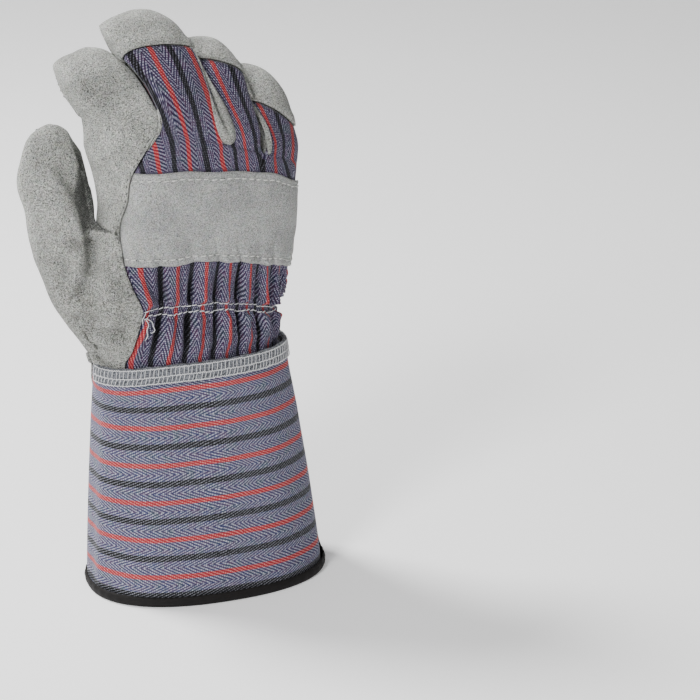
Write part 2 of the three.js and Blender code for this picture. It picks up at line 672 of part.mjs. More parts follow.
const cuffSkin = weld({ cloth: [cuffGrid(binding.foldRoom, [...cuffRows, band.low, cuffHeight])] });
add('cuff', thicken(cuffSkin, cuffSkin.faces.cloth, 0, clothWall), 'stripedCloth');
const liningSkin = weld({ cloth: [cuffGrid(binding.foldRoom, [...cuffRows, liningTop])] });
add('cuff_lining', thicken(liningSkin, liningSkin.faces.cloth, -clothWall - layerGap, liningWall), 'lining');
add('hem_binding', bindingGeometry(), 'binding');
add('cuff_top_edge', bandGeometry(), 'edging');

export default glove;
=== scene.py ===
import bpy
import numpy as np
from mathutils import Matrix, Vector


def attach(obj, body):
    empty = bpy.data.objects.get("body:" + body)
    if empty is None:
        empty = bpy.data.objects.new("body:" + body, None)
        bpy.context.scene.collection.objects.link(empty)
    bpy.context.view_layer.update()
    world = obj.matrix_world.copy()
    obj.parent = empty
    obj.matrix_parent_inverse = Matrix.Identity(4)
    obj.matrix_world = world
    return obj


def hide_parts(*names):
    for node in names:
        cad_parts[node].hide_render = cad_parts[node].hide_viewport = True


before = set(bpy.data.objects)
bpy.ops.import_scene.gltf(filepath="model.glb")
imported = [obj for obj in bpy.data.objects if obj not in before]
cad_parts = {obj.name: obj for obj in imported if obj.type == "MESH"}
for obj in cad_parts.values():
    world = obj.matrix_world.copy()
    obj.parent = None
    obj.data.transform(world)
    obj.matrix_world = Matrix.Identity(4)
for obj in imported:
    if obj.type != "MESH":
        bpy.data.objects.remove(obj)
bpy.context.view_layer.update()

# Leather gauntlet glove standing on the hem of its cuff. Shapes are worked out in millimetres from
# the middle of the hem, as in the part's own tables, and moved over the part's origin at the end.
rng = np.random.default_rng(7)
gloveMiddle = np.array([-12.44, 0.03, 0.0])
gridStep = 1.1  # mm between the points of a surface
pi = np.pi


# Small helpers for numbers

def mix(a, b, share):
    return a + (b - a) * share


def smooth(value):  # eases from 0 to 1 as value goes from 0 to 1
    share = np.clip(value, 0, 1)
    return share * share * (3 - 2 * share)


def unit(vectors):
    return vectors / np.maximum(np.linalg.norm(vectors, axis=-1, keepdims=True), 1e-9)


def curveThrough(rows, place):  # smooth curve through evenly numbered rows of a table
    last = len(rows) - 1
    place = np.asarray(place, float)
    low = np.clip(np.floor(place).astype(int), 0, last - 1)
    t = (place - low)[..., None]
    a, b, c, d = [rows[np.clip(low + k, 0, last)] for k in (-1, 0, 1, 2)]
    return (b * (2 * t**3 - 3 * t**2 + 1) + (c - a) / 2 * (t**3 - 2 * t**2 + t)
            + c * (3 * t**2 - 2 * t**3) + (d - b) / 2 * (t**3 - t**2))


def named(names, values):
    return dict(zip(names.split(), np.moveaxis(values, -1, 0)))


def runAlong(line):  # the distance along a line of points, at each of them
    return np.concatenate([[0], np.cumsum(np.linalg.norm(np.diff(line, axis=0), axis=1))])


# The hand: sections from the wrist up to the crotches of the fingers

hand = {
    "names": "z fall power drop left right back front seam start outer inner middle depth",
    "rows": np.array([
        [118, 0, 3, 0, -56.6, 41.8, -23.6, 29.4, -46, -50.0, -56.6, -40, 3, 0.1],
        [131, 0, 3, 0, -56.6, 41.2, -22.7, 28.6, -47, -50.0, -60.8, -40, 3, 1.0],
        [141, 3, 3, 0, -60.0, 41.6, -23.0, 27.0, -44, -53.0, -66.4, -35, 4, 12],
        [158, 12, 3, 0, -62.0, 41.2, -22.5, 26.5, -40, -55.0, -76.8, -30, 6, 18],
        [165, 14, 3, 0, -61.0, 41.7, -23.5, 27.0, -40, -55.5, -79.9, -30, 7, 18.5],
        [176, 15, 3, 0, -60.0, 44.9, -25.5, 27.5, -44.5, -55.5, -83.6, -36, 8, 18],
        [187, 15, 3, 0, -59.5, 47.6, -27.0, 27.0, -47.2, -53.6, -86.9, -45, 9, 17],
        [203, 16, 3, 0, -59.5, 49.7, -28.0, 25.0, -47.4, -49.6, -89.8, -55, 12, 15],
        [220, 17, 3, 4, -54.5, 50.8, -28.0, 23.0, -44.0, -48.5, -91.9, -55, 13, 15],
        [235.5, 16, 3, 9, -55.5, 52.0, -26.0, 21.5, -41, -50.2, -91.6, -55, 15, 15],
        [257, 27, 1.2, 16, -58.5, 53.4, -22.0, 21.0, -28, -54.3, -92, -55, 15, 15],
    ]),
    "roundness": 2.4,
    "fallStart": -28,
    "edgeReach": 5,
    "edgeTurn": np.radians(65),
    "backShares": [0, 0.48, 0.77, 1],
    "palmShares": [0, 0.345, 0.565, 0.73, 1],
}
rowNames = "tail cuffTop wrist shirrLow shirrHigh heel strapLow web knuckle strapHigh crotch"
row = {name: number for number, name in enumerate(rowNames.split())}

fingerNames = "kneeX kneeY kneeZ tipX tipY tipZ breadth depth tipBreadth taper slant roundness capShare"
fingers = {
    "shapes": [dict(zip(fingerNames.split(), values)) for values in [
        [-36.6, 2, 280, -61.0, 34, 279.6, 41.4, 30, 30, 0.55, 0, 2.8, 0.72],
        [-12, -3, 299, -35.0, 31, 300.2, 37, 26, 33, 0.6, 0.10, 2.4, 0.57],
        [19, 0, 284, 3.4, 38, 282.6, 28, 25, 31.5, 0.55, 0.11, 2.3, 0.59],
        [46.4, 2, 264.5, 27.0, 33, 268.0, 27, 23, 24.5, 0.45, 0.16, 2.3, 0.42],
    ]],
    "thumb": dict(zip(fingerNames.split(),
                      [-69.8, 22, 228, -72.2, 26, 254, 43, 27, 18, 0.3, 0, 2, 0.5])),
    "rootBlend": 0.5,
    "tipFrom": 0.8,
    "tipRounding": 0.28,
    "thumbRounding": 0.78,
    "seamShift": 0.25,
    "sideAngle": np.radians(22),
    "cornerSpacing": np.radians(60),
    "gap": 0.5,
    "thumbGap": 2.0, "thumbLean": 6.2, "thumbInnerTaper": 0.34,
    "lengths": [66, 78, 68, 56],
    "thumbLength": 62,
}


def oval(share, roundness):  # height of an oval over its long axis, both of length one
    return (1 - np.minimum(np.abs(share), 1) ** roundness) ** (1 / roundness)


# The hand's own oval and the thumb's oval run together, as the root of the sum of their squares
def handDepth(s, x, face):
    breadth = (s["right"] - s["left"]) / 2
    own = oval((x - s["left"] - breadth) / breadth, hand["roundness"])
    middle = (s["back"] + s["front"]) / 2
    reach = middle - s["back"] if face == "back" else s["front"] - middle
    thumbBreadth = (s["inner"] - s["outer"]) / 2
    swell = oval((x - s["outer"] - thumbBreadth) / thumbBreadth, 2)
    lean = 1 - smooth((x - s["outer"]) / (s["start"] + 22 - s["outer"]))
    depth = np.hypot(own * reach, swell * s["depth"])
    return mix(middle, s["middle"], lean) + (-depth if face == "back" else depth)


# across is 0 at the thumb's side and 4 at the little finger's, one unit a finger, and runs on over
# the thumb to -1. place is the number of the row.
def facePoint(across, place, face):
    across, place = np.broadcast_arrays(across, place)
    s = named(hand["names"], curveThrough(hand["rows"], place))
    right = s["right"] - hand["edgeReach"]
    if face == "front":
        x = mix(s["start"], right, np.interp(across, range(5), hand["palmShares"]))
    else:
        onCloth = mix(s["seam"], right, np.interp(across, range(1, 5), hand["backShares"]))
        x = np.where(across < 1, mix(s["start"], s["seam"], across), onCloth)
    overThumb = mix(s["start"], s["outer"] + hand["edgeReach"], np.sin(-across * pi / 2))
    x = np.where(across < 0, overThumb, x)
    share = np.clip((x - hand["fallStart"]) / (s["right"] - hand["fallStart"]), 0, 1)
    z = s["z"] - s["fall"] * share ** s["power"] - (s["drop"] if face == "front" else 0)
    return np.stack([x, handDepth(s, x, face), z], axis=-1)


# An edge of the hand is a shallow arc from one face to the other, bulging by edgeReach. The little
# finger's edge runs from the back to the palm, and those at the thumb's side run the other way.
def edgePoint(across, place, share):
    fromFace, toFace, side = ("back", "front", 1) if across == 4 else ("front", "back", -1)
    turn = (2 * share - 1) * hand["edgeTurn"]
    bulge = (np.cos(turn) - np.cos(hand["edgeTurn"])) / (1 - np.cos(hand["edgeTurn"]))
    along = (1 + np.sin(turn) / np.sin(hand["edgeTurn"])) / 2
    start, end = facePoint(across, place, fromFace), facePoint(across, place, toFace)
    point = mix(start, end, along[..., None])
    point[..., 0] += side * hand["edgeReach"] * bulge
    return point


def stepsOver(length, fewest=4):
    return np.linspace(0, 1, max(fewest, round(length / gridStep)) + 1)


fingerColumns = [stepsOver(shape["breadth"]) for shape in fingers["shapes"]]
thumbColumns = stepsOver(fingers["thumb"]["breadth"]) - 1
edgeColumns = stepsOver(17)
chainColumns = stepsOver(20)


def handColumns(first, last):
    parts = [finger + fingerColumns[finger][:-1] for finger in range(first, last)]
    return np.concatenate(parts + [[last]])


def rowsFrom(low, high):
    parts = []
    for number in range(row[low], row[high]):
        count = len(stepsOver(hand["rows"][number + 1, 0] - hand["rows"][number, 0], 2)) - 1
        parts.append(number + np.arange(count) / count)
    return np.concatenate(parts + [[row[high]]])


def backGrid(low, high, columns):
    return facePoint(columns[None, :], rowsFrom(low, high)[:, None], "back")


def palmGrid(low, high, columns):
    return facePoint(columns[None, ::-1], rowsFrom(low, high)[:, None], "front")


def edgeGrid(low, high, across):
    return edgePoint(across, rowsFrom(low, high)[:, None], edgeColumns[None, :])


# The little gap between two fingers at their crotch, from the back to the palm
def crotchChain(across):
    start, end = [facePoint(across, row["crotch"], face) for face in ("back", "front")]
    return mix(start, end, chainColumns[:, None])


# The ring that a finger grows from: its back, far side, palm side and near side
def fingerRoot(number):
    columns = handColumns(number, number + 1)
    near = edgeGrid("web", "crotch", 0)[-1] if number == 0 else crotchChain(number)[::-1]
    far = edgeGrid("web", "crotch", 4)[-1] if number == 3 else crotchChain(number + 1)
    return [backGrid("web", "crotch", columns)[-1], far, palmGrid("web", "crotch", columns)[-1], near]


def thumbRoot():
    return [backGrid("web", "crotch", thumbColumns)[0],
            edgeGrid("web", "crotch", 0)[0][::-1],
            palmGrid("web", "crotch", thumbColumns)[0],
            edgeGrid("web", "crotch", -1)[0]]


# The middle line of a finger: a bend with three control points, from the root's centre to the tip
def middleLine(root, shape):
    start = np.concatenate([side[:-1] for side in root]).mean(axis=0)
    knee, tip = [np.array([shape[end + axis] for axis in "XYZ"]) for end in ("knee", "tip")]

    def point(step):
        t = np.asarray(step, float)[..., None]
        return start * (1 - t)**2 + knee * 2 * t * (1 - t) + tip * t**2

    def tangent(step):
        t = np.asarray(step, float)[..., None]
        return unit((knee - start) * (1 - t) + (tip - knee) * t)

    return point, tangent


# A finger's section is a rounded oval, deeper on the palm's side, that closes like a ball at the
# tip, and its seam line drifts to the back
def fingerPoint(line, shape, step, x, y):
    point, tangent = line
    forward = tangent(step)
    across = unit(np.array([1.0, 0, 0]) - forward * forward[..., :1])
    palmward = np.cross(forward, across)
    closing = np.clip((step - shape["taper"]) / (1 - shape["taper"]), 0, 1)
    ending = np.clip((step - fingers["tipFrom"]) / (1 - fingers["tipFrom"]), 0, 1)
    rounding = 1 - fingers["tipRounding"] * ending**2
    if shape is fingers["thumb"]:
        inner = fingers["thumbInnerTaper"] * smooth((step - 0.4) / 0.6) * (x > 0)
        rounding = (1 - fingers["thumbRounding"] * ending**4) * (1 - inner)
    halfDepth = shape["depth"] / 2 * np.sqrt(np.maximum(1 - closing**2.2, 0))
    halfBreadth = mix(shape["breadth"], shape["tipBreadth"], closing**2) / 2 * rounding
    deep = (halfDepth * y * (1 + fingers["seamShift"] * np.sign(y))
            - fingers["seamShift"] * shape["depth"] / 2 * smooth(step))
    lateral = x * halfBreadth
    return point(step) + across * lateral[..., None] + palmward * deep[..., None], lateral


# The tube of a finger grows out of its root's ring: each ring is the root carried along, blended
# into the finger's own section. Returns the four sides, and how far across each point lies.
def fingerTube(root, shape, steps, keepApart):
    line = middleLine(root, shape)
    power = 2 / shape["roundness"]
    spread = np.cos(fingers["sideAngle"])**power
    sides, laterals = [], []
    for number, points in enumerate(root):
        share = np.linspace(0, 1, len(points))
        if number % 2 == 0:
            turned = share if number == 0 else 1 - share
            x = np.sin((2 * turned - 1) * fingers["cornerSpacing"])
            x = x / np.sin(fingers["cornerSpacing"]) * spread
            y = (-1 if number == 0 else 1) * oval(x, shape["roundness"])
        else:
            sign = 1 if number == 1 else -1
            turn = (2 * share - 1) * fingers["sideAngle"]
            x = sign * np.cos(turn)**power
            y = sign * np.sign(turn) * np.abs(np.sin(turn))**power
        step, x, y = np.broadcast_arrays(steps[:, None], x[None, :], y[None, :])
        cap = shape["capShare"]
        nearCap = np.where(step < cap, step / cap, (1 - step) / (1 - cap))
        place = step - x * shape["slant"] * nearCap
        own, lateral = fingerPoint(line, shape, place, x, y)
        carried = points[None] + line[0](step) - line[0](0)
        settled = mix(carried, own, smooth(step / fingers["rootBlend"])[..., None])
        settled = keepApart(settled, step)
        settled[0] = points
        sides.append(settled)
        laterals.append(lateral)
    return sides, laterals


# Neighbouring fingers press flat against the surface midway between their middle lines
def pressedApart(lines, number):
    chain = crotchChain(number + 1)

    def middle(step):
        return (lines[number][0](step) + lines[number + 1][0](step)) / 2

    offset = mix(chain[0], chain[-1], 0.5) - middle(0)

    def surface(step):
        along = unit(middle(np.minimum(step + 0.01, 1)) - middle(step - 0.01))
        across = lines[number + 1][0](step) - lines[number][0](step)
        across = unit(across - along * (across * along).sum(-1, keepdims=True))
        on = middle(step) + offset * (1 - smooth(step / fingers["rootBlend"]))[..., None]
        return across, on

    def press(points, step, sign):
        across, on = surface(step)
        past = sign * (across * (points - on)).sum(-1) + fingers["gap"] / 2
        return points - across * (sign * np.maximum(past, 0))[..., None]

    return press


# The thumb presses flat against the hand's edge beside it
def besideHand(points, step):
    webZ, knuckleZ, strapZ = [hand["rows"][row[name], 0] for name in ("web", "knuckle", "strapHigh")]
    z = points[..., 2]
    place = (row["web"] + np.clip((z - webZ) / (knuckleZ - webZ), 0, 1)
             + np.clip((z - knuckleZ) / (strapZ - knuckleZ), 0, 1))
    s = named(hand["names"], curveThrough(hand["rows"], place))
    x = np.maximum(points[..., 0], s["start"])
    inFront = smooth((points[..., 1] - handDepth(s, x, "front") - 1) / 7)
    away = fingers["thumbGap"] + fingers["thumbLean"] * smooth((step - 0.3) / 0.5)
    limit = s["start"] - hand["edgeReach"] - away
    held = points.copy()
    held[..., 0] = mix(np.minimum(points[..., 0], limit), points[..., 0], inFront)
    return held


def fingerSteps(length):  # closer together towards the tip
    share = stepsOver(length)
    return 1.5 * share - 0.5 * share**3


tubeSteps = [fingerSteps(length) for length in fingers["lengths"]]
roots = [fingerRoot(number) for number in range(4)]
lines = [middleLine(root, shape) for root, shape in zip(roots, fingers["shapes"])]
presses = [pressedApart(lines, number) for number in range(3)]


def keptApart(number):
    def keep(points, step):
        if number > 0:
            points = presses[number - 1](points, step, -1)
        if number < 3:
            points = presses[number](points, step, 1)
        return points
    return keep


tubes = [fingerTube(roots[n], fingers["shapes"][n], tubeSteps[n], keptApart(n)) for n in range(4)]
thumbTube = fingerTube(thumbRoot(), fingers["thumb"], fingerSteps(fingers["thumbLength"]), besideHand)


# The cuff: a flattened tube with a slit

cuff = {
    "height": 130,
    "roundness": 2.3,
    "names": "z centreX centreY halfWidth halfDepth",
    "rows": np.array([
        [0, 0, 0, 65, 43],
        [45, -1.8, 1, 61.7, 38],
        [90, -4.3, 2, 57, 33],
        [130, -6.3, 3, 52.5, 28.5],
    ]),
    "closedAbove": 70, "wayRound": 330,
    "apexZ": 63, "apexAngle": 28, "frontAngle": 41, "backAngle": 3,
    "frontCorner": 12, "backCorner": 4,
    "foldRoom": 1.9,
    "thumbDip": 2.6,  # how far the top edge hangs lower at the thumb's side
    "dipFromZ": 100, "dipHeight": 25,
    "clothWall": 1.3, "liningWall": 0.8, "gap": 0.3,
    "shownCloth": 1.2, "shownLining": 0.7,  # both are shown a little thinner than the solids' walls
    "liningTop": 114, "liningOut": -1.7,
}


# angle is in degrees round the cuff, 0 at the little finger's side and 90 at the palm
def cuffPoint(angle, z, out=0.0):
    angle, z = np.broadcast_arrays(np.asarray(angle, float), np.asarray(z, float))
    heights = cuff["rows"][:, 0]
    place = np.interp(z, heights, range(len(heights)))
    above = z > heights[-1]
    place = np.where(above, len(heights) - 1 + (z - heights[-1]) / (heights[-1] - heights[-2]), place)
    s = named(cuff["names"], curveThrough(cuff["rows"], place))
    turn = np.radians(angle)
    power = 2 / cuff["roundness"]
    cos, sin = np.cos(turn), np.sin(turn)
    toThumb, atBack = smooth((-cos - 0.2) / 0.8), smooth((0.35 - sin) / 0.5)
    dip = smooth((z - cuff["dipFromZ"]) / cuff["dipHeight"]) * toThumb * atBack
    z = z - cuff["thumbDip"] * dip
    x = s["centreX"] + (s["halfWidth"] + out) * np.sign(cos) * np.abs(cos)**power
    y = s["centreY"] + (s["halfDepth"] + out) * np.sign(sin) * np.abs(sin)**power
    return np.stack([x, y, z], axis=-1)


def slitScale(z):  # millimetres round the cuff for each degree, at the slit
    off = 4
    apart = cuffPoint(cuff["apexAngle"] - off, z) - cuffPoint(cuff["apexAngle"] + off, z)
    return np.linalg.norm(apart, axis=-1) / (2 * off)


def slitEdges(z, inset):
    share = np.clip((cuff["apexZ"] - z) / cuff["apexZ"], 0, 1)
    off = inset / slitScale(z)
    front = mix(cuff["apexAngle"], cuff["frontAngle"], share) + off
    back = mix(cuff["apexAngle"], cuff["backAngle"], share) - off
    closeAt = cuff["apexZ"] + 3.2 * inset
    opened = smooth((closeAt - z) / np.maximum(closeAt - cuff["apexZ"], 0.01))
    return mix(cuff["apexAngle"], front, opened), mix(cuff["apexAngle"], back, opened) + 360


def hemHeight(distanceFront, distanceBack):  # the hem is rounded up to the slit at both corners
    lifts = [radius - np.sqrt(radius**2 - np.maximum(radius - distance, 0)**2)
             for distance, radius in ((distanceFront, cuff["frontCorner"]),
                                      (distanceBack, cuff["backCorner"]))]
    return lifts[0] + lifts[1]


# Rows from the hem to a height, columns from the slit's front edge round to its back edge, closer
# together near the slit
def cuffGrid(inset, top, out):
    share = stepsOver(cuff["wayRound"])
    share = share - 0.4 * np.sin(2 * pi * share) / (2 * pi)
    heights = stepsOver(top) * top
    first, last = slitEdges(inset, inset)
    angle = mix(first, last, share)
    scale = slitScale(0)
    low = inset + hemHeight((angle - first) * scale, (last - angle) * scale)
    lifted = mix(low[None, :], cuff["closedAbove"], heights[:, None] / cuff["closedAbove"])
    z = np.maximum(lifted, heights[:, None])
    start, end = slitEdges(z, inset)
    return cuffPoint(mix(start, end, share[None, :]), z, out), z


fullPalm = np.concatenate([thumbColumns[:-1], handColumns(0, 4)])
patch = {"startAngle": 24, "endAngle": 153, "topSpread": 12, "low": 98, "cornerRise": 22, "out": 2.2,
         "top": 133, "onCuff": 35, "toWrist": 11}


# The palm leather below the wrist flares out from the hand and lies over the cuff
def patchGrid():
    along = np.linspace(0, 1, len(fullPalm))
    off = np.maximum(np.abs(2 * along - 1) - 0.5, 0) / 0.5
    low = patch["low"] + patch["cornerRise"] * (1 - np.sqrt(np.maximum(1 - off**3, 0)))
    angle = mix(patch["startAngle"], patch["endAngle"], along)
    share = stepsOver(patch["onCuff"])[:, None]
    spread = patch["topSpread"] * smooth(1.6 * share - 0.6) * smooth((along - 0.6) / 0.4)
    onCuff = cuffPoint(angle[None, :] + spread, mix(low[None, :], patch["top"], share), patch["out"])
    wrist = facePoint(fullPalm[::-1], row["wrist"], "front")
    share = stepsOver(patch["toWrist"])[1:, None, None]
    upper = mix(onCuff[-1][None], wrist[None], smooth(share) * 0.4 + share * 0.6)
    return np.concatenate([onCuff, upper])


# One skin for the hand: grids of points, welded where they meet

sideNames = "Back Far Front Near".split()
fingerWords = "index middle ring little".split()
caps = [int(np.argmin(np.abs(steps - shape["capShare"])))
        for steps, shape in zip(tubeSteps, fingers["shapes"])]


# A net of a finger's tube, by its name: the word Tip picks the rows beyond the cap's seam. The
# others run up to that seam, apart from the whole front and the first finger's back and near side.
def tubeGrid(name):
    number, word = next(pair for pair in enumerate(fingerWords) if name.startswith(pair[1]))
    side = name[len(word):].replace("Tip", "") or "Back"
    if "Tip" in name:
        rows = slice(caps[number], None)
    elif side == "Front" or name in ("indexBack", "indexNear"):
        rows = slice(None)
    else:
        rows = slice(0, caps[number] + 1)
    return tubes[number][0][sideNames.index(side)][rows]


sideSplit = int(len(chainColumns) * 0.42)  # on the second finger's near side the strip ends here
middleNear = tubeGrid("middleNear")
grids = {
    "patch": patchGrid(),
    "heel": palmGrid("wrist", "web", fullPalm),
    "palm": palmGrid("web", "crotch", handColumns(0, 4)),
    "indexRoot": backGrid("web", "crotch", handColumns(0, 1)),
    "web": edgeGrid("web", "crotch", 0),
    "thumbHeel": backGrid("tail", "web", thumbColumns),
    "indexHeel": backGrid("tail", "web", handColumns(0, 1)),
    "thumbEdge": edgeGrid("tail", "web", -1),
    "back": backGrid("tail", "crotch", handColumns(1, 4)),
    "littleEdge": edgeGrid("tail", "crotch", 4),
    "middleNear": middleNear[:, :sideSplit + 1],
    "middleSide": middleNear[:, sideSplit:],
    **dict(zip(("thumbBack", "thumbInner", "thumbFront", "thumbOuter"), thumbTube[0])),
}
pieceGrids = {  # the nets that each piece is cut from
    "palmLeather": "patch heel palm indexFront littleFront thumbFront",
    "middleFinger": "middleFront",
    "ringFinger": "ringFront",
    "indexLeather": "indexRoot web indexBack indexNear indexFarTip",
    "thumbLeather": "thumbHeel indexHeel thumbEdge thumbBack thumbInner thumbOuter",
    "backCloth": "back littleEdge middleBack ringBack littleBack littleFar middleSide",
    "middleCap": "middleTip middleTipFar middleTipNear",
    "ringCap": "ringTip ringTipFar ringTipNear",
    "littleCap": "littleTip littleTipFar littleTipNear",
    "indexMiddleStrip": "indexFar middleNear",
    "middleRingStrip": "middleFar ringNear",
    "ringLittleStrip": "ringFar littleNear",
}
grids = {name: grids[name] if name in grids else tubeGrid(name)
         for names in pieceGrids.values() for name in names.split()}
print("grids of the hand:", len(grids))

# points of different grids closer than 0.005 mm are one point of the skin
flat = np.concatenate([grid.reshape(-1, 3) for grid in grids.values()])
_, firstUse, numbers = np.unique(np.round(flat * 200).astype(np.int64), axis=0,
                                 return_index=True, return_inverse=True)
skin = flat[firstUse]
ends = np.cumsum([grid.shape[0] * grid.shape[1] for grid in grids.values()])
index = {name: part.reshape(grid.shape[:2])
         for (name, grid), part in zip(grids.items(), np.split(numbers.reshape(-1), ends[:-1]))}
clothNet = np.concatenate([index["back"], index["littleEdge"][:, 1:]], axis=1)
clothPlaces = rowsFrom("tail", "crotch")


def quadsOf(net):  # the faces of a grid, anticlockwise seen from outside
    return np.stack([net[:-1, :-1], net[:-1, 1:], net[1:, 1:], net[1:, :-1]], axis=-1).reshape(-1, 4)


def edgesOf(corners):
    pairs = np.stack([corners, np.roll(corners, -1, axis=1)], axis=-1).reshape(-1, 2)
    return pairs[pairs[:, 0] != pairs[:, 1]]


def rimOf(corners):  # edges that only one face uses
    pairs = edgesOf(corners)
    size = corners.max() + 1
    forward, backward = pairs[:, 0] * size + pairs[:, 1], pairs[:, 1] * size + pairs[:, 0]
    return pairs[~np.isin(forward, backward)]


def pointNormals(points, corners):
    a, b, c, d = [points[corners[:, k]] for k in range(4)]
    face = np.cross(c - a, d - b)
    total = np.zeros_like(points)
    for k in range(4):
        for axis in range(3):
            total[:, axis] += np.bincount(corners[:, k], face[:, axis], len(points))
    return unit(total)


allCorners = np.concatenate([quadsOf(net) for net in index.values()])
rimPoints = np.unique(rimOf(allCorners))
pairs = edgesOf(allCorners)
degree = np.bincount(pairs[:, 0], minlength=len(skin)) + np.bincount(pairs[:, 1], minlength=len(skin))


def neighbourMean(values):
    total = np.stack([
        np.bincount(pairs[:, 0], values[pairs[:, 1], k], len(values))
        + np.bincount(pairs[:, 1], values[pairs[:, 0], k], len(values))
        for k in range(3)], axis=-1)
    return total / np.maximum(degree, 1)[:, None]


# Smoothing in pairs of steps, one that draws each point to its neighbours and one that pushes it
# back, takes kinks out without shrinking the shape
def relax(points, rounds):
    for _ in range(rounds):
        for pull in (0.5, -0.52):
            moved = points + (neighbourMean(points) - points) * pull
            moved[rimPoints] = points[rimPoints]
            points = moved
    return points


# the nets whose last rows meet at the end of each finger
tipNets = [["indexBack", "indexNear", "indexFarTip", "indexFront"],
           *[[word + part for part in ("Tip", "TipNear", "TipFar", "Front")] for word in fingerWords[1:]],
           ["thumbBack", "thumbInner", "thumbOuter", "thumbFront"]]
tipRows = 9
tipReach = 3.0  # mm


def settleTips(points, rounds):  # plain smoothing at the ends, where the sides of a tip meet
    last = int(tipReach / gridStep) + 1
    ends = np.unique(np.concatenate([index[name][-last:].ravel() for names in tipNets for name in names]))
    for _ in range(rounds):
        settled = neighbourMean(points)
        points = points.copy()
        points[ends] = mix(points[ends], settled[ends], 0.6)
    return points


skin = relax(skin, 22)
skin = settleTips(skin, 14)


# Normals shared out among neighbours. At the end of a finger they turn into the directions away from
# a point inside it, so that none turns over where the sides meet.
def steadyNormals(points):
    steady = pointNormals(points, allCorners)
    for _ in range(5):
        steady = unit(steady * 0.5 + neighbourMean(steady))
    share = smooth(np.arange(tipRows) / (tipRows - 2))[:, None, None]
    for names in tipNets:
        ring = np.concatenate([index[name][-tipRows - 4] for name in names])
        inside = points[ring].mean(axis=0)
        for name in names:
            ends = index[name][-tipRows:]
            steady[ends] = unit(mix(steady[ends], unit(points[ends] - inside), share))
    return steady


print("skin:", len(skin), "points,", len(allCorners), "faces")

# The web between thumb and first finger hangs lower towards the palm, but not at the palm's face
webDip = {"low": 6.0, "x": -55, "z": 203, "wide": 9, "high": 8, "fromY": -6, "toY": 14, "endY": 26}


def dipWeb(points):
    x, y, z = points.T
    toPalm = smooth((y - webDip["fromY"]) / (webDip["toY"] - webDip["fromY"]))
    bell = np.exp(-((z - webDip["z"]) / webDip["high"])**2 - ((x - webDip["x"]) / webDip["wide"])**2)
    share = bell * toPalm * smooth((webDip["endY"] - y) / 6)
    return points - np.array([0, 0, webDip["low"]]) * share[:, None]


skin = dipWeb(skin)

# Folds and dents, pressed into the whole skin

# A crease is a valley along a line on one face: it runs from (x1, z1) to (x2, z2), and its depth
# falls off like a bell to both sides and fades at both ends. A negative depth is a ridge.
creaseNames = "x1 z1 x2 z2 width depth face"
creases = np.array([
    # back of the thumb: creases at its root and over its heel
    [-61.0, 200, -62.2, 183, 3.0, 4.6, -1],
    [-62.4, 185, -69.5, 169, 3.2, 3.8, -1],
    [-70.5, 201, -65.5, 196, 2.6, 2.8, -1],
    [-80, 232, -72, 206, 6.0, -1.0, -1],
    [-76, 192, -76, 172, 5.5, 2.8, -1],
    [-70, 196, -70.5, 184, 4.0, -1.4, -1],
    [-57, 188, -55, 168, 4.0, -1.8, -1],
    [-75, 163, -58, 164, 4.0, -1.8, -1],
    [-73, 156, -58, 157, 3.4, 2.0, -1],
    [-62, 149.5, -46, 151, 2.8, 3.0, -1],
    [-67, 144.5, -50, 145.5, 3.0, -1.8, -1],
    [-66, 139, -54, 138, 3.0, 2.0, -1],
    # palm: under the fingers, from the web, and across the middle
    [-48, 236, -28, 238, 2.5, 1.4, 1],
    [-22, 236, 2, 238, 2.5, 1.6, 1],
    [8, 236, 24, 233, 2.5, 1.6, 1],
    [28, 226, 46, 220, 3.0, 1.8, 1],
    [-50, 214, -40, 196, 5.0, 3.6, 1],
    [-40, 196, -26, 172, 6.0, 3.0, 1],
    [-26, 172, -14, 156, 6.0, 1.8, 1],
    [-30, 226, -16, 190, 7.0, 2.6, 1],
    [-16, 190, 6, 184, 9.0, 2.6, 1],
    [0, 212, 42, 206, 5.0, 2.2, 1],
    [4, 184, 40, 172, 6.0, 1.8, 1],
    [-24, 204, 10, 196, 8.0, 1.8, 1],
    [20, 196, 30, 160, 6.0, -1.2, 1],
    [-58, 186, -44, 160, 7.0, -1.6, 1],
    [-84, 196, -66, 190, 4.0, 1.2, 1],
    [-70, 160, -40, 150, 4.0, 1.4, 1],
    [0, 152, 38, 158, 4.0, 1.4, 1],
])


def creaseDepth(points, normals):
    depth = np.zeros(len(points))
    flatPoints = points[:, [0, 2]]
    for line in creases:
        c = dict(zip(creaseNames.split(), line))
        start, end = np.array([c["x1"], c["z1"]]), np.array([c["x2"], c["z2"]])
        run = end - start
        along = ((flatPoints - start) @ run) / (run @ run)
        off = np.linalg.norm(flatPoints - start - np.clip(along, 0, 1)[:, None] * run, axis=1)
        facing = smooth(normals[:, 1] * c["face"] / 0.5)
        fade = smooth(1.5 - np.abs(along - 0.5) * 2)
        depth += c["depth"] * np.exp(-(off / c["width"])**2) * facing * fade
    return depth


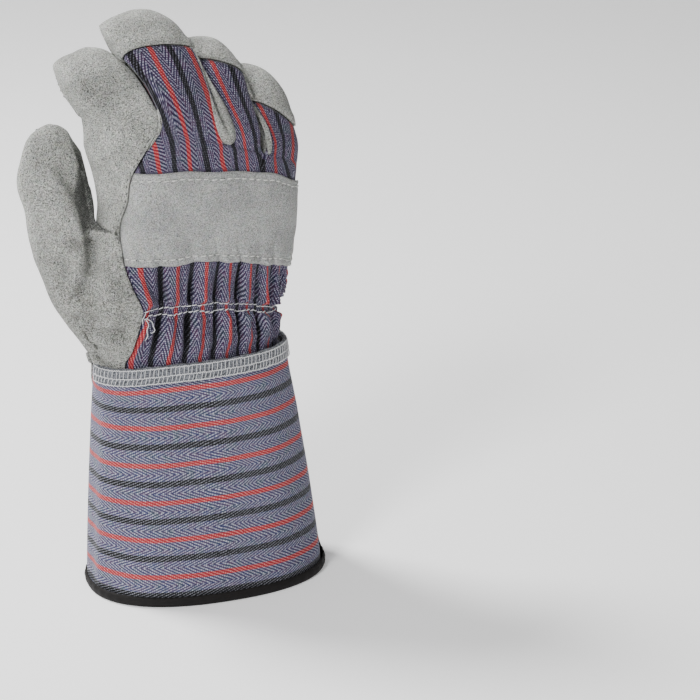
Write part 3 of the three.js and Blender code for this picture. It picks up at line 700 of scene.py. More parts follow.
# The thumb's back is folded over: a ridge runs down it, and beyond the ridge the leather drops back
# by a smooth step. Nearer the first finger it turns away for good, and slopes back as a flat face
# from an edge through the points of "turn", as far as the web.
thumbFold = {
    "ridge": np.array([[-75.5, 234], [-74, 229], [-69.2, 221.7], [-66.2, 211.8], [-65.6, 204.4],
                       [-65.2, 198.5]]),
    "depth": 4.6, "step": 4.0, "ridgeHeight": 1.5, "ridgeOff": 2.2, "ridgeWidth": 3.5, "reach": 26,
    "valleyOff": 2.4, "valleyWidth": 2.2, "valleyShade": 0.45,
    "turn": np.array([[-62.5, 13.3, 243], [-61.2, 10.9, 234], [-63.2, 7.2, 225.6], [-66.2, 3.9, 219.9],
                      [-66.4, 1.1, 215.1], [-65.8, -2.2, 210.3], [-66.0, -6.2, 204.4],
                      [-66.2, -8.6, 198.5]]),
    "slope": 1.25, "soft": 0.7, "webZ": 199.5, "topZ": 250, "fromX": -78,
    "fadeZ": [194.5, 200.5, 206, 216, 226, 238], "fade": [0, 0.75, 1, 0.9, 0.55, 0],
    "innerNets": ["thumbBack", "thumbInner"],
}


def thumbShare(names, early):  # 0 on the hand, growing to 1 over the first rows of the thumb's nets
    share = np.zeros(len(skin))
    for name in names:
        rows = np.arange(len(index[name]))[:, None]
        share[index[name]] = smooth((rows + early) / 4) + 0 * index[name]
    return share


# Returns how far the leather drops back, and how much of it lies in shade
def foldDepth(points, normals):
    ridge = thumbFold["ridge"]
    x, z = points[:, 0], points[:, 2]
    past = x - np.interp(z, ridge[::-1, 1], ridge[::-1, 0])
    down = np.interp(z, thumbFold["fadeZ"], thumbFold["fade"])
    facing = smooth((0.5 - normals[:, 1]) / 0.6)
    step = smooth(past / thumbFold["step"]) * smooth((thumbFold["reach"] - past) / 8)
    ridgeRise = np.exp(-((past + thumbFold["ridgeOff"]) / thumbFold["ridgeWidth"])**2)
    stepBack = (thumbFold["depth"] * step - thumbFold["ridgeHeight"] * ridgeRise) * down * facing
    turn = thumbFold["turn"][::-1]
    edgeX, edgeY = [np.interp(z, turn[:, 2], turn[:, k]) for k in (0, 1)]
    face = edgeY + thumbFold["slope"] * (x - edgeX)
    behind = np.logaddexp(0, (face - points[:, 1] - stepBack) / thumbFold["soft"]) * thumbFold["soft"]
    onThumb = thumbShare(thumbFold["innerNets"], 0.5)
    upDown = smooth((z - thumbFold["webZ"]) / 4) * smooth((thumbFold["topZ"] - z) / 9)
    turned = behind * onThumb * smooth((x - thumbFold["fromX"]) / 8) * upDown
    beyond = smooth((x - edgeX + 0.6) / 2.2) * smooth((thumbFold["topZ"] - 2 - z) / 12)
    beyond = beyond * (thumbShare(thumbFold["innerNets"], 3.0) > 0)
    valley = np.exp(-((past - thumbFold["valleyOff"]) / thumbFold["valleyWidth"])**2)
    return stepBack + turned, np.maximum(beyond, thumbFold["valleyShade"] * valley * down * facing)


# Where the thumb's front meets its inner side, plain smoothing takes the pinch out of its edge
thumbEase = {"fromX": -64, "lowZ": 200, "highZ": 238, "rounds": 24}


def easeThumb(points):
    share = thumbShare(("thumbInner", "thumbFront"), -1.0)
    x, _, z = points.T
    share = (share * smooth((x - thumbEase["fromX"]) / 6) * smooth((z - thumbEase["lowZ"]) / 5)
             * smooth((thumbEase["highZ"] - z) / 6))
    for _ in range(thumbEase["rounds"]):
        points = points + (neighbourMean(points) - points) * (0.7 * share)[:, None]
    return points


leatherSwells = [[1.2, 34, 3], [0.55, 13, 4]]  # height and size in mm, and the seed


def softWaves(points, size, seed):  # slow random waves of about this size, between -1 and 1
    waves = np.random.default_rng(seed)
    total = np.zeros(len(points))
    for _ in range(12):
        direction = unit(waves.normal(size=3))
        total += np.cos(points @ direction * 2 * pi / (size * waves.uniform(0.7, 1.5))
                        + waves.uniform(0, 2 * pi))
    return total / 12


normals = steadyNormals(skin)
plainSkin = skin.copy()
creased = creaseDepth(skin, normals)
skin = skin - normals * creased[:, None]
folded, foldShade = foldDepth(plainSkin, normals)
skin = easeThumb(skin + np.array([0, 1.0, 0]) * folded[:, None])
swell = sum(height * softWaves(skin, size, seed) for height, size, seed in leatherSwells)
skin = skin + normals * swell[:, None]

# How the cloth is laid over the hand, in mm of cloth. Across the stripes it is a + b s + c s s, with
# s the arc length from the index seam: the seam cuts slantwise into the cloth at the top, and b
# over 1 means that the cloth is gathered. On a finger it is the place of the finger's middle, plus
# its spread times the distance across. A red stripe lies at every whole repeat.
# redsAtStrap are the arc lengths where the red stripes come out from under the strap.
clothLay = {
    "place": [0, 1, 2, 3, 4, 5, 6],
    "a": [-3.0, -3.0, -0.7, -3.8, -4.9, -6.2, -6.7],
    "b": [0.93, 0.93, 0.93, 1.17, 1.21, 0.94, 0.74],
    "c": [0.0043, 0.0043, 0.0048, 0.0040, 0.0040, 0.0067, 0.0081],
    "redsAtStrap": [-1, 15.5, 31, 49.5, 62, 80, 103],
    "fingerMiddle": [46.8, 84.5, 109.0],
    "fingerSpread": [1.03, 1.15, 1.2],
    "kinkWindow": 8, "kinkReach": 30, "kinkFade": 12,  # in mm, at the root of a finger
    "lineReach": 5, "lineWidth": 5,  # in columns, below the line between two fingers
}
stripeRepeat = 20.3  # mm from one red stripe to the next; a black one lies halfway


def arcLength(net):  # distance along each row of a net, on the unfolded skin
    return np.stack([runAlong(line) for line in plainSkin[net]])


clothFingers = [(number, fingerWords[number] + "Back") for number in (1, 2, 3)]


def layFinger(number):  # mm of cloth across a finger's back, for its rows and columns
    lateral = tubes[number][1][sideNames.index("Back")]
    return clothLay["fingerMiddle"][number - 1] + lateral * clothLay["fingerSpread"][number - 1]


def straightened(chain, crotchRow):  # takes the kink out of the stripes where a finger begins
    window = int(clothLay["kinkWindow"] / gridStep)
    kernel = np.convolve(np.ones(2 * window + 1), np.ones(2 * window + 1))
    reach = len(kernel) // 2
    padded = np.pad(chain, ((reach, reach), (0, 0)), mode="reflect", reflect_type="odd")
    even = np.stack([np.convolve(column, kernel / kernel.sum(), "valid") for column in padded.T], axis=1)
    off = np.abs(np.arange(len(chain)) - crotchRow) * gridStep
    return mix(chain, even, smooth((clothLay["kinkReach"] - off) / clothLay["kinkFade"])[:, None])


def layCloth():
    side = arcLength(clothNet)
    place = clothPlaces[:, None]
    a, b, c = [np.interp(place, clothLay["place"], clothLay[key]) for key in "abc"]
    low = a + b * side + c * side**2
    strapTop = int(np.argmin(np.abs(place - row["strapHigh"])))
    reds = clothLay["redsAtStrap"]
    atStrap = np.interp(side[strapTop], reds, np.arange(len(reds)) * stripeRepeat)
    roots = [layFinger(number)[0] for number in (1, 2, 3)]
    atRoots = np.concatenate([roots[0][:-1], [(roots[0][-1] + roots[1][0]) / 2], roots[1][1:-1],
                              [(roots[1][-1] + roots[2][0]) / 2], roots[2][1:]])
    edge = atRoots[-1] + (side[-1] - side[-1, len(atRoots) - 1])[len(atRoots):]
    atRoots = np.concatenate([atRoots, edge])
    u = mix(low, atStrap[None],
            smooth((place - row["strapLow"]) / (row["strapHigh"] - row["strapLow"])))
    above = place > row["strapHigh"]
    u = np.where(above, mix(atStrap, atRoots, place - row["strapHigh"]), u)
    up = arcLength(clothNet[:, clothNet.shape[1] // 2][None])[0]
    # where the stripes lean, the weft leans with them, square to the stripes
    lean = (atRoots - atStrap) / (up[-1] - up[strapTop])
    turned = -np.concatenate([[0], np.cumsum(lean[1:] * np.diff(side[-1]))])
    turned = turned - turned[len(turned) // 2]
    v = up[:, None] + np.where(above, turned, 0)
    split = index["back"].shape[1]
    fingerUs = {}
    first = 0
    for number, name in clothFingers:
        count = index[name].shape[1]
        steps = tubeSteps[number][:len(index[name])]
        fingerUs[name] = mix(u[-1, first:first + count][None], layFinger(number)[:len(steps)],
                             smooth(steps / 0.2)[:, None])
        chain = np.concatenate([u[:, first:first + count], fingerUs[name][1:]])
        chain = straightened(chain, len(u) - 1)
        fingerUs[name] = chain[len(u) - 1:]
        inner = slice(first + (number > 1), first + count)
        u[:, inner] = chain[:len(u), inner.start - first:]
        first += count - 1
    # below the line between two fingers, the stripes of both run together over a few mm
    reach = clothLay["lineReach"]
    kernel = np.hanning(2 * reach + 3)[1:-1]
    padded = np.pad(u, ((0, 0), (reach, reach)), mode="reflect", reflect_type="odd")
    spread = sum(padded[:, k:k + u.shape[1]] * weight for k, weight in enumerate(kernel)) / kernel.sum()
    lines = np.cumsum([index[name].shape[1] - 1 for _, name in clothFingers[:2]])
    offLine = np.abs(np.arange(u.shape[1])[None, :] - lines[:, None]).min(axis=0)
    byLine = np.exp(-(offLine / clothLay["lineWidth"])**2)
    u = mix(u, spread, smooth((place - row["crotch"] + 0.9) / 0.7) * byLine)
    u[:, split:] += (fingerUs["littleBack"][0, -1] - atRoots[split - 1]) * above
    laid = {
        "back": np.stack([u[:, :split], v[:, :split]], axis=-1),
        "littleEdge": np.stack([u[:, split - 1:], v[:, split - 1:]], axis=-1),
    }
    first = 0
    for number, name in clothFingers:
        rows, columns = index[name].shape
        steps = tubeSteps[number][:rows, None]
        rootV = turned[first:first + columns]
        rootV = mix(rootV, rootV.mean(), smooth(steps / fingers["rootBlend"]))
        laid[name] = np.stack([fingerUs[name], up[-1] + rootV + steps * fingers["lengths"][number]],
                              axis=-1)
        first += columns - 1
    # on the sides of the outer two of these fingers the cloth runs straight on
    toSide = -arcLength(index["middleSide"][:, ::-1])[:, ::-1]
    for name, edge, run in (("middleSide", laid["middleBack"][:, :1], toSide),
                            ("littleFar", laid["littleBack"][:, -1:], arcLength(index["littleFar"]))):
        laid[name] = np.stack([edge[..., 0] + run, edge[..., 1] + 0 * run], axis=-1)
    return laid


clothUvs = layCloth()

# Gathers of the back cloth: folds run up and down from the two rows of stitches at the wrist, with
# their valleys along the black stripes. They are deepest beside the stitches and die out towards
# the strap and the cuff, and the stitches draw the cloth in.
gather = {"depth": 5.0, "pinch": 1.3, "lowStitches": 158.9, "highStitches": 162.6, "reach": 23,
          "lowRow": 3.02, "highRow": 3.58, "wander": 0.35}


def gatherCloth():
    u = np.concatenate([clothUvs["back"][..., 0], clothUvs["littleEdge"][:, 1:, 0]], axis=1)
    z = curveThrough(hand["rows"], clothPlaces)[:, :1]
    away = z - (gather["lowStitches"] + gather["highStitches"]) / 2
    phase = u / stripeRepeat * 2 * pi
    drift = 0.5 * np.sin(u / 9.0 + z / 14) + np.where(away > 0, 0.0, 0.35)
    fromBlack = ((u / stripeRepeat + 0.05 * drift) % 1 - 0.5) * stripeRepeat
    wave = (0.4 * np.cos(phase + drift) + 0.28 * np.cos(phase * 2.0 + 1.1 + 2.2 * drift)
            + 0.2 * np.cos(phase * 3.3 + z / 6) - 1.1 * np.exp(-(fromBlack / 2.4)**2))
    swell = smooth((np.abs(away) - 1.2) / 5) * np.exp(-(np.abs(away) / gather["reach"])**2)
    fine = 0.25 * np.cos(phase * 5.3 + 1.0) * np.exp(-(away / 5)**2)
    share = np.linspace(0, 1, u.shape[1])[None, :]
    edge = smooth(share / 0.05) * smooth((1 - share) / 0.12)
    inOut = gather["depth"] * (wave + 0.25) * swell + fine - gather["pinch"] * np.exp(-(away / 3.4)**2)
    return inOut * edge


# In the fold, the creases and the valleys of the gathers, the colour is darkened with painted shade.
# shade says how much, up to a share for each.
mostShade = {"fold": 0.85, "crease": 0.4, "gather": 0.6}
inOut = gatherCloth()
shade = np.maximum(mostShade["fold"] * foldShade, mostShade["crease"] * smooth((creased - 0.6) / 3.2))
shade[clothNet] = mostShade["gather"] * smooth((-inOut - 0.6) / 4)
skin[clothNet.ravel()] += normals[clothNet.ravel()] * inOut.reshape(-1, 1)
skin = relax(skin, 1)
normals = steadyNormals(skin)
print("folds pressed in")

# From arrays to Blender objects

mm = 0.001


# corners holds four point numbers a face, where a repeated neighbour makes the face a triangle
def meshObject(name, points, corners, material, cornerUv=None):
    points = points.reshape(-1, 3)
    keep = corners != np.roll(corners, -1, axis=1)
    good = keep.sum(axis=1) >= 3
    keep &= good[:, None]
    mesh = bpy.data.meshes.new(name)
    mesh.vertices.add(len(points))
    mesh.vertices.foreach_set("co", ((points - gloveMiddle) * mm).astype(np.float32).ravel())
    loops = corners[keep]
    totals = keep.sum(axis=1)[good]
    mesh.loops.add(len(loops))
    mesh.loops.foreach_set("vertex_index", loops.astype(np.int32))
    mesh.polygons.add(len(totals))
    mesh.polygons.foreach_set("loop_start", (np.cumsum(totals) - totals).astype(np.int32))
    mesh.update(calc_edges=True)
    if cornerUv is not None:
        layer = mesh.uv_layers.new(name="cloth")
        layer.data.foreach_set("uv", cornerUv[keep].astype(np.float32).ravel())
    mesh.polygons.foreach_set("use_smooth", np.ones(len(totals), bool))
    mesh.validate()
    piece = bpy.data.objects.new(name, mesh)
    bpy.context.scene.collection.objects.link(piece)
    mesh.materials.append(material)
    return piece


def netCorners(rows, columns, closed=False):  # faces of a plain grid; closed joins its last column
    net = np.arange(rows * columns).reshape(rows, columns)
    if closed:
        net = np.concatenate([net, net[:, :1]], axis=1)
    return quadsOf(net)


def dress(piece, slotName, *nodes):
    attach(piece, "root")
    if nodes:
        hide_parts(*nodes)
    return piece


def addWall(piece, thickness):  # the wall grows inwards from the skin
    wall = piece.modifiers.new("wall", "SOLIDIFY")
    wall.thickness = thickness * mm
    wall.offset = -1
    wall.use_even_offset = False


# A wall grown inwards along given directions: outer faces, inner faces turned round, and a strip of
# faces round the rim
def walled(points, corners, inward, thickness, cornerUv=None):
    count = len(points)
    rim = rimOf(corners)
    strip = np.stack([rim[:, 1], rim[:, 0], rim[:, 0] + count, rim[:, 1] + count], axis=-1)
    faces = np.concatenate([corners, corners[:, ::-1] + count, strip])
    both = np.concatenate([points, points + inward * thickness])
    if cornerUv is None:
        return both, faces, None
    pointUv = np.zeros((count, 2))
    pointUv[corners] = cornerUv
    return both, faces, np.concatenate([cornerUv, cornerUv[:, ::-1], pointUv[strip % count]])


def rimDistance(points, rim):
    nearest = np.empty(len(points))
    for first in range(0, len(points), 1500):
        part = points[first:first + 1500]
        nearest[first:first + 1500] = np.sqrt(
            ((part[:, None] - rim[None])**2).sum(axis=2).min(axis=1))
    return nearest


threadEndShare, threadFlatness = 0.45, 0.8


# One piece of threads, from pairs of paths and outward directions. Each is a closed tube of a few
# sides that narrows at its ends and is a little flatter in the outward direction.
def threads(name, runs, kind, material):
    paths, outwards = [np.concatenate([run[k] for run in runs]) for k in (0, 1)]
    count, length = paths.shape[:2]
    sides = kind["sides"]
    forward = unit(np.gradient(paths, axis=1))
    up = unit(outwards - forward * (outwards * forward).sum(-1, keepdims=True))
    across = np.cross(forward, up)
    turn = np.arange(sides) / sides * 2 * pi
    taper = np.ones(length)
    taper[[0, -1]] = threadEndShare
    ring = (across[:, :, None] * np.cos(turn)[None, None, :, None]
            + up[:, :, None] * np.sin(turn)[None, None, :, None] * threadFlatness)
    points = paths[:, :, None] + ring * (kind["radius"] * taper)[None, :, None, None]
    net = np.arange(count * length * sides).reshape(count, length, sides)
    net = np.concatenate([net, net[:, :, :1]], axis=2)
    walls = np.stack([net[:, :-1, :-1], net[:, :-1, 1:], net[:, 1:, 1:], net[:, 1:, :-1]], axis=-1)
    corners = [walls.reshape(-1, 4)]
    for end, order in ((0, (2, 1, 0)), (length - 1, (0, 1, 2))):
        first = net[:, end, 0]
        for k in range(1, sides - 1):
            fan = np.stack([first, net[:, end, k], net[:, end, k + 1]], axis=-1)[:, order]
            corners.append(np.concatenate([fan, fan[:, -1:]], axis=1))
    return dress(meshObject(name, points, np.concatenate(corners), material), "overlocked_edge")


def sampled(net, rows, columns):  # a grid's values at places between its points
    rows = np.clip(rows, 0, net.shape[0] - 1.001)
    columns = np.clip(columns, 0, net.shape[1] - 1.001)
    r, c = np.floor(rows).astype(int), np.floor(columns).astype(int)
    a, b = (rows - r)[..., None], (columns - c)[..., None]
    return mix(mix(net[r, c], net[r, c + 1], b), mix(net[r + 1, c], net[r + 1, c + 1], b), a)


routePoints = 600


def sewnLine(surface, facing, rows, columns):  # a close row of points along a route
    share = np.linspace(0, 1, routePoints)
    stops = np.linspace(0, 1, len(rows))
    rows, columns = np.interp(share, stops, rows), np.interp(share, stops, columns)
    return sampled(surface, rows, columns), unit(sampled(facing, rows, columns))


# Stitches along a line of points: each is a short arch over the surface that dives in at both ends.
# Sideways, they are shifted by slant times their own share, so that they lie a little askew.
def stitchesOn(line, facing, kind):
    run = runAlong(line)
    count = int(run[-1] / kind["pitch"])
    share = np.linspace(0, 1, kind["points"])
    at = (np.arange(count)[:, None] + 0.5 * (1 - kind["fill"]) + share * kind["fill"]) * kind["pitch"]
    path, up = [np.stack([np.interp(at, run, values[:, k]) for k in range(3)], axis=-1)
                for values in (line, facing)]
    across = unit(np.cross(up, np.gradient(path, axis=1)))
    jitter = rng.normal(0, kind["jitter"], (count, 1)) + (share - 0.5) * kind["slant"]
    arch = kind["lift"] + kind["arch"] * np.sin(pi * share)
    return path + up * arch[None, :, None] + across * jitter[..., None], up


def sewn(name, lines, kind, material):
    return threads(name, [stitchesOn(*line, kind) for line in lines], kind, material)


# Materials

def srgb(text):  # hex colour to the linear values that shaders use
    values = [int(text[k:k + 2], 16) / 255 for k in (1, 3, 5)]
    return [v / 12.92 if v <= 0.04045 else ((v + 0.055) / 1.055)**2.4 for v in values] + [1.0]


# Adds a node, sets it and links it. Its inputs are given by name, or as a list in the node's own
# order: for MapRange the value, what it ranges from and to, and what that becomes, and for MixRGB the
# share of the second colour and the two colours.
def put(tree, kind, inputs=(), out=0, **settings):
    item = tree.nodes.new("ShaderNode" + kind)
    for name, value in settings.items():
        setattr(item, name, value)
    for key, value in inputs.items() if isinstance(inputs, dict) else enumerate(inputs):
        socket = item.inputs[key]
        if isinstance(value, bpy.types.NodeSocket):
            tree.links.new(value, socket)
        else:
            socket.default_value = value
    return item if out is None else item.outputs[out]


def newMaterial(name):
    material = bpy.data.materials.new(name)
    material.use_nodes = True
    material.node_tree.nodes.clear()
    return material, material.node_tree


def perMillimetre(size):  # a texture's scale on Object coordinates for features of this size in mm
    return 1000 / size


# Split suede: the flesh side of cowhide, buffed to a short nap. Light dies between the standing
# fibres, so it looks matt, salt and pepper at the size of the fibre bundles, crossed by pale loose
# fibres like worms, dotted with small pits, and clouded where the nap lies over.
def suede(name, settings):
    material, tree = newMaterial(name)
    place = put(tree, "TexCoord", out="Object")
    warp = put(tree, "TexNoise", {"Vector": place, "Scale": perMillimetre(6), "Detail": 2.0}, out="Color")
    bent = put(tree, "MixRGB", [0.0012, place, warp], blend_type="ADD")
    grain = put(tree, "TexNoise", {"Vector": bent, "Scale": perMillimetre(settings["grain"]),
                                   "Detail": 3.0, "Roughness": 0.8, "Distortion": 0.5})
    fibres = put(tree, "TexNoise", {"Vector": bent, "Scale": perMillimetre(settings["fibre"]),
                                    "Detail": 1.5, "Roughness": 0.6, "Distortion": 1.6})
    middle = put(tree, "Math", [fibres, 0.5], operation="SUBTRACT")
    fromFibre = put(tree, "Math", [middle], operation="ABSOLUTE")
    onFibre = put(tree, "MapRange", [fromFibre, 0.0, 0.035, settings["fibreLight"], 0.0])
    pitPlace = put(tree, "TexVoronoi", {"Vector": bent, "Scale": perMillimetre(4.2)}, out="Distance")
    pits = put(tree, "MapRange", [pitPlace, 0.05, 0.12, settings["pit"], 1.0])
    cloud = put(tree, "TexNoise", {"Vector": bent, "Scale": perMillimetre(17), "Detail": 4.0,
                                   "Roughness": 0.6})
    cloudShare = put(tree, "MapRange", [cloud, 0.35, 0.66])
    body = put(tree, "MixRGB", [cloudShare, srgb(settings["deep"]), srgb(settings["pale"])])
    speckle = put(tree, "MapRange", [grain, 0.36, 0.64, 1 - settings["contrast"],
                                     1 + settings["contrast"]])
    # the hide is looser and coarser towards the wrist, with dark flecks
    up = put(tree, "SeparateXYZ", {"Vector": place}, out=2)
    loose = put(tree, "MapRange", [up, 0.21, 0.165, 0, settings["flecks"]])
    fleck = put(tree, "TexNoise", {"Vector": bent, "Scale": perMillimetre(1.1), "Detail": 3.0,
                                   "Roughness": 0.8})
    dark = put(tree, "MapRange", [fleck, 0.53, 0.37, 0.0, 1.0])
    flecked = put(tree, "Math", [dark, loose], operation="MULTIPLY")
    body = put(tree, "MixRGB", [flecked, body, srgb("#3C3B35")])
    # painted shade: the colour turns towards near black #2B2D2B as far as the attribute shade says
    paintedShade = put(tree, "Attribute", attribute_name="shade", out="Fac")
    body = put(tree, "MixRGB", [paintedShade, body, srgb("#2B2D2B")])
    worn = put(tree, "MixRGB", [1.0, body, speckle], blend_type="MULTIPLY")
    pitted = put(tree, "MixRGB", [1.0, worn, pits], blend_type="MULTIPLY")
    tint = put(tree, "TexNoise", {"Vector": place, "Scale": perMillimetre(2.6), "Detail": 2.0},
               out="Color")
    tinted = put(tree, "MixRGB", [0.10, pitted, tint], blend_type="OVERLAY")
    colour = put(tree, "MixRGB", [onFibre, tinted, srgb("#DADBD6")])
    nap = put(tree, "Math", [grain, onFibre], operation="ADD")
    bump = put(tree, "Bump", {"Height": nap, "Strength": settings["bump"], "Distance": 0.0009})
    shader = put(tree, "BsdfPrincipled", {
        "Base Color": colour, "Roughness": 0.95, "IOR": 1.45, "Specular IOR Level": 0.15,
        "Sheen Weight": 0.25, "Sheen Roughness": 0.5, "Sheen Tint": srgb("#EDEEEA"),
        "Normal": bump})
    put(tree, "OutputMaterial", {"Surface": shader}, out=None)
    return material


splitSuede = suede("splitCowhideSuede", {
    "deep": "#888984", "pale": "#A4A5A0", "grain": 0.62, "contrast": 1.15,
    "fibre": 1.7, "fibreLight": 0.5, "pit": 0.5, "bump": 0.8, "flecks": 1.0})
# the strap is shaved thinner and brushed, so its nap is closer and the eye sees it smoother and even
strapSuede = suede("shavedSplitStrap", {
    "deep": "#868786", "pale": "#999A98", "grain": 0.55, "contrast": 0.75,
    "fibre": 1.6, "fibreLight": 0.3, "pit": 0.8, "bump": 0.5, "flecks": 0.0})

weave = {
    "redWidth": 2.6,
    "waleAcross": 1.55,  # mm between the pale diagonals, across the stripes
    "waleAlong": 3.1,  # and along them
    "pick": 1.05,  # mm from one pale float to the next; the real 0.7 mm is too fine to show
}


# Herringbone twill of yarn-dyed cotton: blue, plum and teal warp over pale weft, whose floats step
# sideways and make dotted pale diagonals. The diagonals turn midway between a red and a black
# stripe. Nothing shines, and the dye is uneven from yarn to yarn.
def twill(name, settings):
    material, tree = newMaterial(name)
    uv = put(tree, "UVMap", uv_map="cloth")
    split = put(tree, "SeparateXYZ", {"Vector": uv}, out=None)
    u, v = split.outputs[0], split.outputs[1]
    place = put(tree, "TexCoord", out="Object")
    repeat = stripeRepeat
    wander = put(tree, "TexNoise", {"Vector": uv, "Scale": 0.25, "Detail": 2.0})
    fuzz = put(tree, "TexNoise", {"Vector": uv, "Scale": 1.6, "Detail": 3.0, "Roughness": 0.7})
    grain = put(tree, "TexNoise", {"Vector": uv, "Scale": 1.25, "Detail": 2.0, "Roughness": 0.75})
    shift = put(tree, "MapRange", [wander, 0, 1, -0.3, 0.3])
    uMoved = put(tree, "Math", [u, shift], operation="ADD")

    # the diagonals: ridge is 0 in the valley between two of them and 0.5 on a crest
    turned = put(tree, "Math", [uMoved, repeat / 4], operation="ADD")
    zigzag = put(tree, "Math", [turned, repeat / 2], operation="PINGPONG")
    across = put(tree, "Math", [zigzag, weave["waleAcross"]], operation="DIVIDE")
    along = put(tree, "Math", [v, weave["waleAlong"]], operation="DIVIDE")
    both = put(tree, "Math", [across, along], operation="ADD")
    jitter = put(tree, "MapRange", [fuzz, 0, 1, -0.13, 0.13])
    phase = put(tree, "Math", [both, jitter], operation="ADD")
    ridge = put(tree, "Math", [phase, 0.5], operation="PINGPONG")
    diagonal = put(tree, "MapRange", [ridge, 0.16, 0.42])

    # the floats along a diagonal, each of its own brightness
    picks = put(tree, "Math", [v, weave["pick"]], operation="DIVIDE")
    dash = put(tree, "Math", [picks, 0.5], operation="PINGPONG")
    dashShare = put(tree, "MapRange", [dash, 0.1, 0.36, settings["between"], 1.0])
    fray = put(tree, "MapRange", [grain, 0.36, 0.62, 0.12, 1.5])
    floats = put(tree, "Math", [diagonal, dashShare], operation="MULTIPLY")
    pale = put(tree, "Math", [floats, fray], operation="MULTIPLY")

    # warp yarns run along the stripes, so their dye varies in long streaks
    yarns = put(tree, "Mapping", {"Vector": uv, "Scale": (0.9, 0.16, 1.0)})
    dye = put(tree, "TexNoise", {"Vector": yarns, "Scale": 1.0, "Detail": 3.0, "Roughness": 0.65})
    patch = put(tree, "TexNoise", {"Vector": place, "Scale": perMillimetre(5), "Detail": 3.0})
    warm = put(tree, "MapRange", [dye, 0.42, 0.6])
    cool = put(tree, "MapRange", [patch, 0.5, 0.68, 0, 0.75])
    plum = put(tree, "MixRGB", [warm, srgb(settings["blue"]), srgb(settings["plum"])])
    dyed = put(tree, "MixRGB", [cool, plum, srgb(settings["teal"])])

    # stripes: fromRed is the distance in mm from the middle of the nearest red one
    fromRed = put(tree, "Math", [uMoved, repeat / 2], operation="PINGPONG")
    frayed = put(tree, "MapRange", [fuzz, 0, 1, -0.25, 0.25])
    edge = put(tree, "Math", [fromRed, frayed], operation="ADD")
    red = put(tree, "MapRange", [edge, weave["redWidth"] / 2 + 0.15, weave["redWidth"] / 2 - 0.15])
    black = put(tree, "MapRange", [edge, (repeat - settings["blackWidth"]) / 2 - 0.15,
                                   (repeat - settings["blackWidth"]) / 2 + 0.15])
    redYarn = put(tree, "MixRGB", [fuzz, srgb(settings["redDeep"]), srgb(settings["redPale"])])
    striped = put(tree, "MixRGB", [red, dyed, redYarn])
    striped = put(tree, "MixRGB", [black, striped, srgb("#060607")])
    weft = put(tree, "MixRGB", [red, srgb(settings["weft"]), srgb(settings["weftOnRed"])])
    onBlack = put(tree, "MapRange", [black, 0, 1, settings["weftShare"], settings["weftOnBlack"]])
    paleShare = put(tree, "Math", [pale, onBlack], operation="MULTIPLY")
    paleShare.node.use_clamp = True
    colour = put(tree, "MixRGB", [paleShare, striped, weft])
    # painted shade: the colour is darker in the valleys between the pale diagonals
    valley = put(tree, "MapRange", [ridge, 0.0, 0.25, settings["valley"], 1.0])
    shaded = put(tree, "MixRGB", [1.0, colour, valley], blend_type="MULTIPLY")
    # painted shade: the colour turns towards near black #0A0A0D as far as the attribute shade says
    paintedShade = put(tree, "Attribute", attribute_name="shade", out="Fac")
    shaded = put(tree, "MixRGB", [paintedShade, shaded, srgb("#0A0A0D")])
    half = put(tree, "Math", [dash, 0.5], operation="MULTIPLY")
    height = put(tree, "Math", [ridge, half], operation="ADD")
    bump = put(tree, "Bump", {"Height": height, "Strength": 0.4, "Distance": 0.0004})
    shader = put(tree, "BsdfPrincipled", {
        "Base Color": shaded, "Roughness": 0.9, "Specular IOR Level": 0.2,
        "Sheen Weight": 0.1, "Sheen Roughness": 0.4, "Normal": bump})
    put(tree, "OutputMaterial", {"Surface": shader}, out=None)
    return material


handTwill = twill("yarnDyedHerringboneTwill", {
    "blue": "#24223F", "plum": "#3E2440", "teal": "#22323A", "redDeep": "#661320", "redPale": "#9E2430",
    "weft": "#B4B3C6", "weftOnRed": "#E0867C", "weftShare": 0.64, "weftOnBlack": 0.16, "blackWidth": 3.2,
    "between": 0.2, "valley": 0.66})
# the cuff's cloth is stiffened and hardly worn: paler, cooler, and with the weft showing on its black
cuffTwill = twill("starchedHerringboneTwill", {
    "blue": "#33375A", "plum": "#4B3A55", "teal": "#35474F", "redDeep": "#7C1C28", "redPale": "#A62E38",
    "weft": "#C4C6D2", "weftOnRed": "#E4968E", "weftShare": 0.66, "weftOnBlack": 0.34, "blackWidth": 3.4,
    "between": 0.35, "valley": 0.75})


# Cotton and polyester threads and tapes: soft, matt, slightly uneven in tone
def threadMaterial(name, pale, deep, size, roughness=0.85, sheen=0.2):
    material, tree = newMaterial(name)
    place = put(tree, "TexCoord", out="Object")
    noise = put(tree, "TexNoise", {"Vector": place, "Scale": perMillimetre(size), "Detail": 3.0,
                                   "Roughness": 0.7})
    share = put(tree, "MapRange", [noise, 0.35, 0.65])
    colour = put(tree, "MixRGB", [share, srgb(deep), srgb(pale)])
    bump = put(tree, "Bump", {"Height": noise, "Strength": 0.4, "Distance": 0.0003})
    shader = put(tree, "BsdfPrincipled", {
        "Base Color": colour, "Roughness": roughness, "Specular IOR Level": 0.3,
        "Sheen Weight": sheen, "Normal": bump})
    put(tree, "OutputMaterial", {"Surface": shader}, out=None)
    return material


whiteThread = threadMaterial("spunPolyesterThread", "#F0F0F0", "#B4B5BA", 0.6)
paleThread = threadMaterial("undyedCottonThread", "#DADAD6", "#A4A5A1", 0.6)
# dark thread for the seams, and painted shade in the strap's stitch holes
darkThreadAndHoleShade = threadMaterial("darkGreyThreadAndHoleShade", "#4A4C4B", "#2B2C2C", 0.6)
bindingTape = threadMaterial("wovenCottonTape", "#110C0B", "#050404", 0.9, 0.8, 0.02)
edgeCloth = threadMaterial("overlockedClothEdge", "#83868C", "#17181D", 0.9)
liningTwill = threadMaterial("greyGreenCottonLining", "#6F7A76", "#55605C", 0.9)
print("materials made")

# The pieces of the hand

